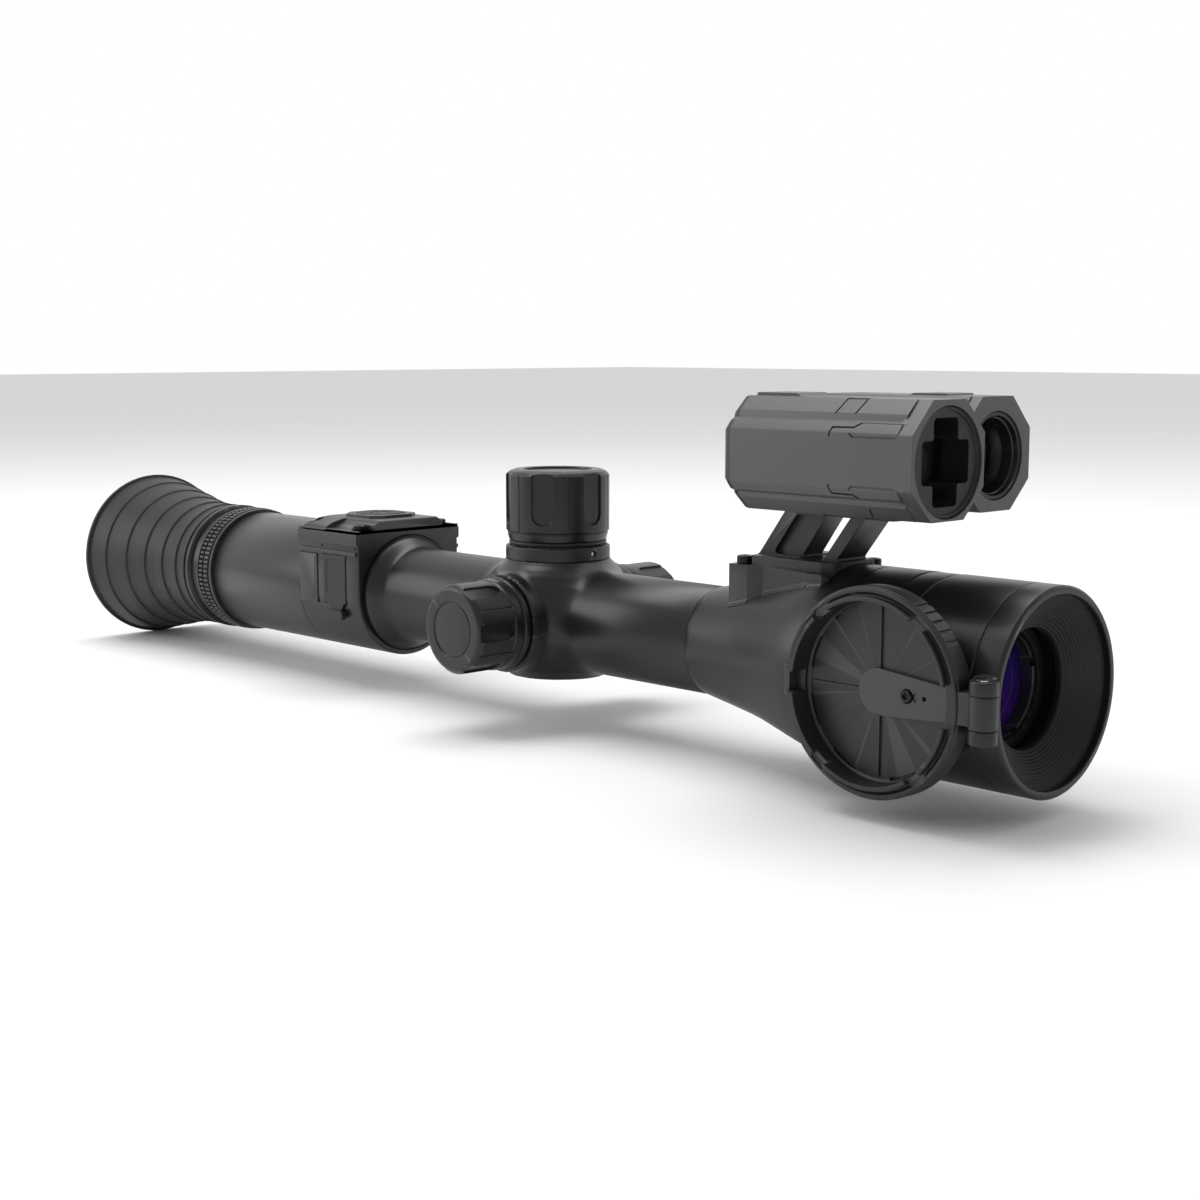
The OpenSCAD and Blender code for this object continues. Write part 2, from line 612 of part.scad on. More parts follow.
module bell() color([0.1, 0.1, 0.105]) difference() {
    union() {
        difference() {
            union() {
                rev(concat(bell_profile, [[bell_split, bell_r], [bell_split, 0], [tube_front, 0]]));
                translate([0, 0, 6]) linear_extrude(height = pedestal_top - 6) polygon(pedestal);
            }
            bell_cavity();
        }
        // seat of the sensor board and the front bolt's inner boss
        ring_x(96.5, 98.95, 20.5, 16.5);
        translate([bolt_b[0], bolt_b[1], 17.6]) rod_z(0, 4, 3);
    }
    span([96, -2.4, -18.2], [99.5, 2.4, -13]);
    for (b = [bolt_a, bolt_b]) translate([b[0], b[1], 0]) {
        rod_z(flange_top - bolt_len - 0.3, 30, 1.27);
        rod_z(flange_top, 30, 2.9);
    }
}

module bell_cavity() rev(concat([[tube_front - 1, 13.92], [tube_front + 8.1, 13.92]],
        [for (i = [2:len(bell_profile) - 1]) [bell_profile[i][0] + 0.5, bell_profile[i][1] - bell_wall]],
        [[bell_split - 4, bell_r - bell_wall], [bell_split - 4, bell_r - 1.2], [bell_split + 1,
        bell_r - 1.2],
            [bell_split + 1, 0], [tube_front - 1, 0]]));

module front_barrel() color([0.1, 0.1, 0.105]) difference() {
    rev([[bell_split - 3.9, guide_r], [bell_split - 3.9, bell_r - 1.25], [bell_split + seam, bell_r - 1.25],
        [bell_split + seam, bell_r], [lock_x0, bell_r], [lock_x0, bell_r - 2.2], [lock_x1, bell_r - 2.2],
        [lock_x1, bell_r], [ring_x0, bell_r], [ring_x0, bell_r - 1.6], [ring_x0 + 4, bell_r - 1.6],
        [ring_x0 + 4, guide_r + 1.6], [162, guide_r + 1.6], [162, guide_r]]);
}

// Screwed collar with a ribbed grip on its flanks
module lock_ring() color([0.09, 0.09, 0.095]) difference() {
    ring_x(lock_x0 + 0.3, lock_x1 - 0.3, bell_r - 0.1, bell_r - 2.2 + seam);
    for (s = [0, 180]) for (a = [-24:3.6:72]) rotate([a + s, 0, 0]) translate([0, -bell_r, 0])
        span([lock_x0 + 1, -1, -0.45], [lock_x1 - 1, 0.55, 0.45]);
}

module sensor_board() color([0.05, 0.3, 0.12]) difference() {
    union() {
        rod_x(99, 100.6, 11);
        // ears that screw to the bell's shoulder
        for (a = [20, 160]) rotate([a, 0, 0]) span([99, -3, 0], [100.6, 3, 19.3]);
    }
    for (a = [20, 160]) rotate([a, 0, 0]) translate([0, 0, 17]) rod_x(98, 102, 1);
}

module image_sensor() color([0.15, 0.2, 0.3]) {
    span([100.65, -6.5, -5.2], [102.2, 6.5, 5.2]);
}

// Flat flexible cable from the sensor, under the turret, to the main board
module ribbon_cable() color([0.75, 0.5, 0.2]) slab_y(-5, -2.2, [[98.9, -9.4], [98.9, -9.9], [60, -9.9],
    [-80, -9.9], [-80, -11.9], [-84, -11.9], [-84, -11.5], [-80.4, -11.5], [-80.4, -9.4]]);

carriage_r = guide_r - slip;
module lens_cell() color([0.13, 0.13, 0.13]) {
    rev([[119, 17.4], [119, carriage_r], [124, carriage_r], [124, 18.6], [148, 18.6], [148, carriage_r],
        [152, carriage_r], [152, 16], [lens_front + 2, 16], [lens_front + 2, 13.45], [148.5, 13.45],
        [148.5, 12.2],
        [136, 12.2], [136, 17.4]]);
    rev([[124, 17.5], [124, 11.5], [125.6, 11.5], [125.6, 12.5], [130.5, 12.5], [130.5, 17.5]]);
}

module objective_lens() color([0.25, 0.15, 0.5, 0.6]) rev([[148.6, 0], [148.9, 6], [149.6, 13.4], [153.6,
    13.4],
    [154.8, 9], [155.5, 4.5], [155.7, 0]]);

module rear_lens() color([0.35, 0.4, 0.7, 0.5]) rev([[125.7, 0], [125.7, 12.45], [128.2, 12.45], [129.4, 8],
    [130, 4], [130.2, 0]]);

module lens_retainer() color([0.08, 0.08, 0.085]) difference() {
    ring_x(154.05, 157.4, 13.4, 12.1);
    for (a = [0, 90, 180, 270]) rotate([a + 20, 0, 0]) span([156.2, -1.2, 10], [159, 1.2, 15]);
}

// ---- hinge ring and flip cap ---------------------------------------------

hinge = [172.9, -31.5];
knuckle_r = 3.3;
knuckle_half = 7.2;
middle_half = 3.8;
pin_r = 0.9;
lip_r = 23.3;            // inner edge of the bell's rim

module hinge_ring() color([0.1, 0.1, 0.105]) difference() {
    union() {
        rev([[ring_x0 + seam, bell_r - 1.55], [ring_x0 + seam, bell_r], [bell_front - 0.5, bell_r],
            [bell_front, bell_r - 0.5], [bell_front, lip_r], [ring_x0 + 4.1, lip_r], [ring_x0 + 4.1,
            bell_r - 1.55]]);
        for (s = [0, 1]) mirror([0, 0, s]) translate([0, 0, middle_half + 0.12]) {
            h = knuckle_half - middle_half - 0.12;
            translate([hinge[0], hinge[1], 0]) cylinder(h = h, r = knuckle_r, $fn = fine);
            linear_extrude(height = h) polygon([[167.6, -24.2], [bell_front - 0.4, -23.6],
                [hinge[0] - 0.3, -28.4],
                [hinge[0] - 0.3, -31.5], [169.6, -31.5], [167.6, -28]]);
        }
    }
    translate([hinge[0], hinge[1], 0]) rod_z(-20, 20, pin_r + seam);
    rod_x(150, 180, lip_r);
}

module baffle_cone() color([0.1, 0.1, 0.1]) {
    ridges = 12;
    x0 = 169.6;                             // outer end of the cone
    x1 = 163.6;                             // inner end of the cone
    dr = (lip_r - 0.3 - mouth_r) / ridges;
    dx = (x0 - x1) / ridges;
    rev(concat(
        [[x0 + 0.4, lip_r - seam]],
        [for (i = [0:ridges - 1]) for (q = [[-0.02, 0], [-0.45, 0.9]])
            [x0 - i * dx + q[0] * 1, lip_r - 0.3 - i * dr - q[1] * dr]],
        [[x1, mouth_r], [162 + seam, mouth_r], [162 + seam, guide_r + 1.5], [ring_x0 + 4.15, guide_r + 1.5],
            [ring_x0 + 4.15, lip_r - seam]]));
}

module hinge_pin() color([0.6, 0.6, 0.62]) translate([hinge[0], hinge[1], 0]) rod_z(-knuckle_half,
    knuckle_half, pin_r);

module hinge_spring() color([0.6, 0.6, 0.62]) translate([hinge[0], hinge[1], -2.8])
    coil(1.45, 0.2, 8, 5.6);

// Everything on the cap is drawn closed, about the hinge, then turned open
module opened() translate([hinge[0], hinge[1], 0]) rotate([0, 0, -cap_open])
    translate([-hinge[0], -hinge[1], 0]) children();

cap_x0 = bell_front + 0.2;       // edge that meets the bell
cap_floor = 1.5;
module flip_cap() color([0.08, 0.08, 0.085]) opened() difference() {
    union() {
        difference() {
            rev([[cap_x0, 0], [cap_x0, cap_r], [cap_x0 + cap_depth - 0.6, cap_r], [cap_x0 + cap_depth,
                cap_r - 0.6],
                [cap_x0 + cap_depth, 0]]);
            rod_x(cap_x0 - 1, cap_x0 + cap_depth - cap_floor, cap_r - 1.5);
        }
        // snap lip that enters the bell's rim
        difference() {
            ring_x(cap_x0 - 1.4, cap_x0 + cap_depth - cap_floor + eps, lip_r - 0.35, lip_r - 1.6);
            for (a = [35, 145, 215, 325]) rotate([a, 0, 0]) span([cap_x0 - 2, -2.6, 10], [cap_x0 + 2,
                2.6, 30]);
            // relief on the hinge side and at the thumb notch
            span([cap_x0 - 2, -30, -5], [cap_x0 + 0.6, -10, 5]);
            span([cap_x0 - 2, 10, -3.4], [cap_x0 + 3.4, 30, 3.4]);
        }
        // inner ribs
        for (a = [90, 270]) rotate([a - 90, 0, 0])
            span([cap_x0 + cap_depth - cap_floor - 0.5, -0.4, 6], [cap_x0 + cap_depth - 0.5, 0.4,
                lip_r - 1.5]);
        // arm to the middle knuckle
        translate([0, 0, -middle_half]) linear_extrude(height = 2 * middle_half) polygon([[hinge[0], -31.5],
            [hinge[0] + 2.6, -29.5], [cap_x0 + cap_depth - 0.6, -24], [cap_x0 + 0.4, -24],
            [hinge[0] - 0.3, -28.3]]);
        translate([hinge[0], hinge[1], 0]) rod_z(-middle_half, middle_half, knuckle_r);
        // thumb tab opposite the hinge
        span([cap_x0 + 1.2, cap_r - 1, -4], [cap_x0 + cap_depth - 1, cap_r + 1.3, 4]);
    }
    translate([hinge[0], hinge[1], 0]) {
        rod_z(-10, 10, pin_r + slip);
        rod_z(-3.2, 3.2, 1.95);
    }
    // grip serrations on the upper rim
    for (i = [0:4]) rotate([-28 + i * 7, 0, 0]) span([cap_x0 + 1, -0.7, cap_r - 0.6],
        [cap_x0 + cap_depth + 1, 0.7, 30]);
    // screw hole of the tongue
    translate([0, screw_y, 0]) rod_x(cap_x0 + cap_depth - 3, cap_x0 + cap_depth + 1, 0.85);
}

tongue_x = cap_x0 + cap_depth - cap_floor - seam;
screw_y = -8.3;          // tongue's screw and locating peg, from the cap's axis
peg_y = -13.2;
module cap_tongue() color([0.08, 0.08, 0.085]) opened() difference() {
    translate([tongue_x - 1.1, 0, 0]) rotate([90, 0, 90]) linear_extrude(height = 1.1) {
        polygon([[0, 5.6], [-21.4, 3.6], [-21.4, -3.8], [0, -5.6]]);
        circle(r = 5.6, $fn = fine);
    }
    translate([0, screw_y, 0]) rod_x(tongue_x - 3, tongue_x + 1, 0.95);
    translate([0, screw_y, 0]) rod_x(tongue_x - 3, tongue_x - 0.7, 1.75);
    translate([0, peg_y, 0]) rod_x(tongue_x - 3, tongue_x + 1, 0.55);
    // cross ribs' slots
    for (s = [-1, 1]) span([tongue_x - 2, -0.5, s > 0 ? 5.2 : -6], [tongue_x + 1, 0.5, s > 0 ? 6 : -5.2]);
}

module cap_screw() color([0.5, 0.5, 0.52]) opened() translate([tongue_x - 0.72, screw_y, 0]) rotate([0,
    -90, 0])
    socket_screw(1.6, 0.9, 0.8, 2);

// ---- rangefinder ---------------------------------------------------------

plate_top = 26.2;
lrf_up = 14.6;           // barrel axis to top flat
lrf_down = 13.7;         // barrel axis to bottom flat
lrf_bottom = barrel_z - lrf_down;
leg_near = -6.8;
leg_far = 4.7;
leg_sink = [1.5, 2.2];    // depth of the rear leg's panels, near and far flank
lrf_mid = 0.65;          // the pair of barrels stands a little to the left
rx_y = lrf_mid - barrel_pitch / 2;
tx_y = lrf_mid + barrel_pitch / 2;
lrf_bolt_x = [109.4, 125];
lrf_screw_at = [for (y = [-1, 1]) for (z = [-1, 1]) [lrf_mid + y * 4.6, barrel_z + z * 8]];

// One raked leg: rear and front edge at the foot, and their lean as run over rise
module leg(x0, x1, lean0, lean1, y0, y1) {
    rise = lrf_bottom - 1 - plate_top;
    slab_y(y0, y1, [[x0, plate_top - 0.3], [x1, plate_top - 0.3], [x1 + lean1 * rise, plate_top + rise],
        [x0 + lean0 * rise, plate_top + rise]]);
}

module bracket() color([0.11, 0.11, 0.115]) difference() {
    union() {
        translate([0, 0, pedestal_top + seam]) linear_extrude(height = flange_top - pedestal_top - seam)
            polygon(pedestal);
        // raised plate
        translate([0, 0, flange_top - 0.1]) linear_extrude(height = plate_top - flange_top + 0.1)
            polygon([[86, -10.6], [109.8, -11.4], [112.8, -10], [113.4, -7.5], [113.6, 5.8], [106.9,
                6.2], [106.9, 10.6],
                [87, 10.6], [85.4, 9], [85.4, -6]]);
        leg(85.3, 98.5, 0.74, 0.7, leg_near, leg_far);
        leg(106.7, 110.8, 0.76, 0.77, leg_near, leg_far);
        // head plate under the rangefinder
        span([94, lrf_mid - 6.5, lrf_bottom - 2.2], [128, lrf_mid + 6.5, lrf_bottom - 0.02]);
    }
    // recessed panel on both flanks of the rear leg
    for (s = [-1, 1]) leg_panel(s);
    // saddle that follows the bell
    rev(concat([[tube_front, 0], [tube_front, 15.33]], [for (p = bell_profile) [p[0], p[1] + 0.03]],
        [[130, bell_r + 0.03], [130, 0]]));
    for (b = [bolt_a, bolt_b]) translate([b[0], b[1], 0]) {
        rod_z(14, 40, 1.35);
        rod_z(flange_top, 30, 2.9);
    }
    for (x = lrf_bolt_x) translate([x, lrf_mid, 0]) {
        rod_z(30, 45, 1.35);
        rod_z(34, lrf_bottom - 1, 2.4);
    }
}

module leg_panel(s) slab_y(s > 0 ? leg_far - leg_sink[1] : leg_near - 1,
    s > 0 ? leg_far + 1 : leg_near + leg_sink[0],
    [[90, plate_top + 0.4], [102, plate_top + 0.4], [110, lrf_bottom - 2.2], [98, lrf_bottom - 2.2]]);

module mount_bolts() color([0.25, 0.25, 0.26]) {
    for (b = [bolt_a, bolt_b]) translate([b[0], b[1], flange_top + seam]) socket_screw(2.15, 2.2, 1.25,
        bolt_len);
    for (x = lrf_bolt_x) translate([x, lrf_mid, lrf_bottom - 1.02]) mirror([0, 0, 1])
        socket_screw(2.15, 1.15, 1.25, 4.5);
}

// Outline of an eight-sided collar about a barrel's axis, [y, z]
barrel_f = barrel_w / 2;
eight = [[-6.4, lrf_up], [-barrel_f, 6.6], [-barrel_f, -6.2], [-6.4, -lrf_down], [6.4, -lrf_down],
    [barrel_f, -6.2], [barrel_f, 6.6], [6.4, lrf_up]];
// Outline of a barrel with a raised band along its flank, [y, z]
half = [[-6.8, lrf_up], [-10.4, 11.2], [-10.9, 9.4], [-12.6, 9], [-barrel_f, 7], [-barrel_f, -6.2],
    [-12.6, -8.6], [-10.9, -9], [-10.4, -10.4], [-6.8, -lrf_down]];
barrel = concat(half, [for (i = [len(half) - 1:-1:0]) [-half[i][0], half[i][1]]]);
rx_bore = 13.25;
tx_bore = 11;

// Prism along X about a barrel's axis
module prism(x0, x1, y, pts) translate([x0, y, barrel_z]) rotate([90, 0, 90])
    linear_extrude(height = x1 - x0) polygon(pts);

module lrf_body() color([0.12, 0.12, 0.125]) difference() {
    x0 = lrf_rear + 3;
    union() {
        prism(x0, rx_front - 4, rx_y, barrel);
        prism(x0, tx_front - 3, tx_y, barrel);
        span([x0, lrf_mid - 6, barrel_z - 11], [tx_front - 3, lrf_mid + 6, barrel_z + 11]);
        // keel that stands on the bracket
        span([96, lrf_mid - 5, lrf_bottom], [127, lrf_mid + 5, barrel_z - 10]);
        prism(rx_front - 5, rx_front, rx_y, eight);
        prism(tx_front - 4, tx_front, tx_y, eight);
        // raised pads on the top flats
        span([x0 + 1, rx_y - 5.6, barrel_z + lrf_up - 0.5], [110.5, rx_y + 5.6, barrel_z + lrf_up + 0.8]);
        span([120, tx_y - 5.6, barrel_z + lrf_up - 0.5], [132, tx_y + 5.6, barrel_z + lrf_up + 0.5]);
    }
    translate([0, rx_y, barrel_z]) {
        rod_x(x0 - eps, rx_front - 13, 11.6);
        rod_x(rx_front - 14, rx_front + 1, rx_bore);
    }
    translate([0, tx_y, barrel_z]) {
        rod_x(x0 - eps, tx_front - 12, 10.6);
        rod_x(tx_front - 13, tx_front + 1, tx_bore);
    }
    // chamber between the barrels for the board
    span([x0 - eps, lrf_mid - 8, barrel_z - 3], [tx_front - 24, lrf_mid + 8, barrel_z + 3]);
    for (p = lrf_screw_at) translate([0, p[0], p[1]]) rod_x(x0 - 1, x0 + 8, 0.95);
    for (x = lrf_bolt_x) translate([x, lrf_mid, 0]) rod_z(lrf_bottom - 1, lrf_bottom + 4, 1.27);
}

module lrf_rear_cover() color([0.12, 0.12, 0.125]) difference() {
    union() {
        prism(lrf_rear, lrf_rear + 3 - seam, rx_y, barrel);
        prism(lrf_rear, lrf_rear + 3 - seam, tx_y, barrel);
        span([lrf_rear, lrf_mid - 6, barrel_z - 11], [lrf_rear + 3 - seam, lrf_mid + 6, barrel_z + 11]);
    }
    for (p = lrf_screw_at) translate([0, p[0], p[1]]) {
        rod_x(lrf_rear - 1, lrf_rear + 5, 1.05);
        rod_x(lrf_rear - 1, lrf_rear + 1.64, 2.2);
    }
}

module lrf_cell() color([0.2, 0.35, 0.6]) translate([0, tx_y, barrel_z]) {
    rod_x(lrf_rear + 4, lrf_rear + 29, 7.8);
    rod_x(lrf_rear + 28.9, lrf_rear + 30, 2.6);
}

module rx_mask() color([0.06, 0.06, 0.06]) translate([0, rx_y, barrel_z]) difference() {
    rod_x(rx_front - 13, rx_front - 0.5, rx_bore - seam);
    // cross-shaped window
    translate([rx_front - 20, 0, 0]) {
        span([0, -5.2, -10.2], [30, 5.2, 10.2]);
        span([0, -10.6, -5.6], [30, 10.6, 5.6]);
        rod_x(0, 30, 9);
    }
    rod_x(rx_front - 14, rx_front - 9.4, 11.3);
}

module rx_lens() color([0.3, 0.3, 0.45, 0.5]) translate([0, rx_y, barrel_z]) rev([[rx_front - 12.9, 0],
    [rx_front - 12.9, 11.2], [rx_front - 11.4, 11.2], [rx_front - 10, 6], [rx_front - 9.5, 0]]);

module tx_bezel() color([0.1, 0.1, 0.1]) translate([0, tx_y, barrel_z]) difference() {
    rod_x(tx_front - 12, tx_front - 0.4, tx_bore - seam);
    rev([[tx_front - 13, 0], [tx_front - 13, 9.4], [tx_front - 6.4, 9.4], [tx_front - 6.4, 8.6],
        [tx_front - 4.4, 8.6],
        [tx_front + 1, 10.2], [tx_front + 1, 0]]);
}

module tx_lens() color([0.8, 0.8, 0.85, 0.5]) translate([0, tx_y, barrel_z]) rev([[tx_front - 10.4, 0],
    [tx_front - 10.4, 9.35], [tx_front - 8, 9.35], [tx_front - 6.9, 6.5], [tx_front - 6.5, 3.4],
    [tx_front - 6.3, 0]]);

module lrf_board() color([0.05, 0.3, 0.12]) {
    span([lrf_rear + 4, -7, barrel_z - 0.8], [tx_front - 26, 5, barrel_z + 0.8]);
    // detector on its carrier behind the receiver lens
    translate([lrf_rear + 6, rx_y, barrel_z]) {
        rod_x(0, 1.6, 11.4);
        rod_x(1.6, 6, 4.6);
    }
}

module laser_diode() color([0.75, 0.65, 0.35]) translate([lrf_rear + 31, tx_y, barrel_z]) {
    rod_x(0, 1.6, 10.5);
    rod_x(1.6, 5, 4.6);
}

eyecup();
eyecup_ring();
ocular_barrel();
diopter_ring();
eyepiece_cell();
eye_lens();
field_lens();
display();
display_board();
rear_housing();
top_cover();
cover_screws();
dpad();
ok_button();
key_board();
main_board();
side_plate();
usb_door();
usb_port();
main_tube();
base_ring();
battery_well();
battery();
battery_spring();
contact_disc();
battery_cap();
cap_oring();
menu_knob();
menu_encoder();
focus_knob();
focus_pinion();
focus_rack();
lens_cell();
objective_lens();
rear_lens();
lens_retainer();
bell();
front_barrel();
lock_ring();
sensor_board();
image_sensor();
ribbon_cable();
hinge_ring();
baffle_cone();
hinge_pin();
hinge_spring();
flip_cap();
cap_tongue();
cap_screw();
bracket();
mount_bolts();
lrf_body();
rx_mask();
rx_lens();
tx_bezel();
tx_lens();
lrf_rear_cover();
lrf_cell();
lrf_board();
laser_diode();
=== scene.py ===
import math

import bmesh
import bpy
import numpy as np
from mathutils import Matrix, Vector
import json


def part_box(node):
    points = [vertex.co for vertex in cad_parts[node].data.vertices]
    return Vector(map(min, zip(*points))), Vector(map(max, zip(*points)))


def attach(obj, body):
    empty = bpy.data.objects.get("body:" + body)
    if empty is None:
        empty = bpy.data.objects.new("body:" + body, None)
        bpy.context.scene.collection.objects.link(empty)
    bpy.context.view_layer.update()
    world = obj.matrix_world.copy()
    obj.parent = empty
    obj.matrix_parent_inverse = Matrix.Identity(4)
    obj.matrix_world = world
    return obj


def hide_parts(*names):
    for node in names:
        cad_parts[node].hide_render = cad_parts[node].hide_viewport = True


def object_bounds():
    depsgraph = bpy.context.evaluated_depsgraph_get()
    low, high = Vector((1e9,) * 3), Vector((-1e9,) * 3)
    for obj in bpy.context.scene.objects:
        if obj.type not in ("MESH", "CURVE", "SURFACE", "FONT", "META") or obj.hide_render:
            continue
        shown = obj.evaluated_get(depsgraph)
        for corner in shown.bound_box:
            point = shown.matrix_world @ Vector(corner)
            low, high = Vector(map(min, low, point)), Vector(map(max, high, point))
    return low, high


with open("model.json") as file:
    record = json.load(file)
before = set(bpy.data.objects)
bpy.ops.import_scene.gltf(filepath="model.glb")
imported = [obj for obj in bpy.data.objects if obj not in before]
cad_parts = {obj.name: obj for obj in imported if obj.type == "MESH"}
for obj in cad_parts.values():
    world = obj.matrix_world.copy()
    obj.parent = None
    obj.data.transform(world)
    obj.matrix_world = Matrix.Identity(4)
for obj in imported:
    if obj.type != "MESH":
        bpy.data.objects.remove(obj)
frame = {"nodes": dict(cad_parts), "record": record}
cad_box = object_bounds()

MM = 0.001              # the script's own units are millimetres
FULL = 2 * math.pi

# ---- sizes, from the frame ------------------------------------------------


def span_of(node):
    """Lowest and highest corner of a CAD node, in millimetres."""
    lo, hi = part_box(node)
    return [v / MM for v in lo], [v / MM for v in hi]


CUP_LO, CUP_HI = span_of("eyecup")
RING_LO, RING_HI = span_of("eyecup_ring")
DIOPTER_LO, DIOPTER_HI = span_of("diopter_ring")
HOUSING_LO, HOUSING_HI = span_of("rear_housing")
COVER_LO, COVER_HI = span_of("top_cover")
PLATE_LO, PLATE_HI = span_of("side_plate")
DOOR_LO, DOOR_HI = span_of("usb_door")
PAD_LO, PAD_HI = span_of("dpad")
KEY_LO, KEY_HI = span_of("ok_button")
TUBE_LO, TUBE_HI = span_of("main_tube")
BASE_LO, BASE_HI = span_of("base_ring")
CAP_LO, CAP_HI = span_of("battery_cap")
KNOB_LO, KNOB_HI = span_of("focus_knob")
BARREL_LO, BARREL_HI = span_of("front_barrel")
LOCK_LO, LOCK_HI = span_of("lock_ring")
HINGE_LO, HINGE_HI = span_of("hinge_ring")
PIN_LO, PIN_HI = span_of("hinge_pin")
BRACKET_LO, BRACKET_HI = span_of("bracket")
LRF_LO, LRF_HI = span_of("lrf_body")
REAR_LO, REAR_HI = span_of("lrf_rear_cover")
MASK_LO, MASK_HI = span_of("rx_mask")
BEZEL_LO, BEZEL_HI = span_of("tx_bezel")

TUBE_R = 15.0
HOUSING_R = 20.65
BELL_R = BARREL_HI[1]
PIN_X = (PIN_LO[0] + PIN_HI[0]) / 2
PIN_Y = (PIN_LO[1] + PIN_HI[1]) / 2
RX_Y = (MASK_LO[1] + MASK_HI[1]) / 2
TX_Y = (BEZEL_LO[1] + BEZEL_HI[1]) / 2
BARREL_Z = (MASK_LO[2] + MASK_HI[2]) / 2

# ---- mesh helpers ---------------------------------------------------------


def rounded(points, closed=True, steps=4):
    """An outline with its corners rounded. A point is (a, b) or (a, b, radius)."""
    out = []
    count = len(points)
    for i, p in enumerate(points):
        r = p[2] if len(p) > 2 else 0
        here = Vector(p[:2])
        if not r or (not closed and i in (0, count - 1)):
            out.append(tuple(here))
            continue
        before = Vector(points[i - 1][:2]) - here
        after = Vector(points[(i + 1) % count][:2]) - here
        angle = before.angle(after)
        if angle > math.pi - 0.02:
            out.append(tuple(here))
            continue
        back = min(r / math.tan(angle / 2), before.length * 0.49, after.length * 0.49)
        a = here + before.normalized() * back
        b = here + after.normalized() * back
        for k in range(steps + 1):
            t = k / steps
            q = a * (1 - t) ** 2 + here * 2 * t * (1 - t) + b * t**2
            out.append(tuple(q))
    return out


def build(name, verts, faces, merge=True):
    """A mesh object from points in millimetres."""
    data = bpy.data.meshes.new(name)
    data.from_pydata([Vector(v) * MM for v in verts], [], faces)
    if merge:
        bm = bmesh.new()
        bm.from_mesh(data)
        bmesh.ops.remove_doubles(bm, verts=bm.verts, dist=1e-6)
        bmesh.ops.recalc_face_normals(bm, faces=bm.faces)
        bm.to_mesh(data)
        bm.free()
    o = bpy.data.objects.new(name, data)
    bpy.context.scene.collection.objects.link(o)
    return o


AXES = {
    "x": lambda a, r, t: (a, r * math.cos(t), r * math.sin(t)),
    "y": lambda a, r, t: (r * math.cos(t), a, r * math.sin(t)),
    "z": lambda a, r, t: (r * math.cos(t), r * math.sin(t), a),
}


def lathe(name, profile, axis="x", centre=(0, 0, 0), seg=144, closed=True, steps=4):
    """A turned piece. profile is [(along, radius, corner radius)], closed unless it ends on the axis."""
    pts = rounded(profile, closed, steps)
    verts, faces = [], []
    for a, r in pts:
        for k in range(seg):
            p = AXES[axis](a, max(r, 0), FULL * k / seg)
            verts.append(tuple(p[i] + centre[i] for i in range(3)))
    n = len(pts)
    for i in range(n if closed else n - 1):
        j = (i + 1) % n
        for k in range(seg):
            m = (k + 1) % seg
            faces.append((i * seg + k, i * seg + m, j * seg + m, j * seg + k))
    return build(name, verts, faces)


PLANES = {
    "yz": lambda u, v, w: (w, u, v),
    "xz": lambda u, v, w: (u, w, v),
    "xy": lambda u, v, w: (u, v, w),
}


def prism(name, outline, plane, lo, hi, steps=4):
    """An outline extruded from lo to hi along the axis normal to its plane."""
    pts = rounded(outline, True, steps)
    n = len(pts)
    verts = [PLANES[plane](u, v, w) for w in (lo, hi) for u, v in pts]
    faces = [tuple(range(n)), tuple(range(2 * n - 1, n - 1, -1))]
    faces += [(i, (i + 1) % n, n + (i + 1) % n, n + i) for i in range(n)]
    return build(name, verts, faces)


def block(name, lo, hi, r=0.0):
    """A box with rounded upright corners."""
    return prism(name, [(lo[0], lo[1], r), (hi[0], lo[1], r), (hi[0], hi[1], r), (lo[0], hi[1], r)], "xy",
        lo[2], hi[2])


def rod(name, axis, lo, hi, r, centre=(0, 0, 0), seg=48):
    """A round bar, used as a cutter or joined to a piece."""
    return lathe(name, [(lo, 0), (lo, r), (hi, r), (hi, 0)], axis, centre, seg, closed=False)


def turned(o, angle, axis, centre=(0, 0, 0)):
    """Turns a mesh about a line in place."""
    c = Vector(centre) * MM
    o.data.transform(Matrix.Translation(c) @ Matrix.Rotation(angle, 4, axis) @ Matrix.Translation(-c))
    return o


def moved(o, by):
    o.data.transform(Matrix.Translation(Vector(by) * MM))
    return o


def joined(name, parts):
    """Several meshes as one object, without a boolean."""
    bm = bmesh.new()
    for p in parts:
        bm.from_mesh(p.data)
    data = bpy.data.meshes.new(name)
    bm.to_mesh(data)
    bm.free()
    for p in parts:
        bpy.data.objects.remove(p)
    o = bpy.data.objects.new(name, data)
    bpy.context.scene.collection.objects.link(o)
    return o


def boolean(o, others, how="DIFFERENCE"):
    """o less, or with, the other meshes, applied."""
    for c in others:
        m = o.modifiers.new("cut", "BOOLEAN")
        m.operation = how
        m.solver = "EXACT"
        m.object = c
    made = bpy.data.meshes.new_from_object(o.evaluated_get(bpy.context.evaluated_depsgraph_get()))
    o.modifiers.clear()
    o.data = made
    for c in others:
        bpy.data.objects.remove(c)
    return o


def dress(o, material, body, nodes=(), bevel=0.0, angle=32):
    """Material, smooth shading, a fine bevel on sharp edges, and the piece's place in the frame."""
    o.data.materials.clear()
    o.data.materials.append(material)
    if bevel:
        m = o.modifiers.new("edges", "BEVEL")
        m.width = bevel * MM
        m.segments = 2
        m.limit_method = "ANGLE"
        m.angle_limit = math.radians(angle)
        m.miter_outer = "MITER_ARC"
    smooth(o, angle)
    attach(o, body)
    if nodes:
        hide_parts(*nodes)
    return o


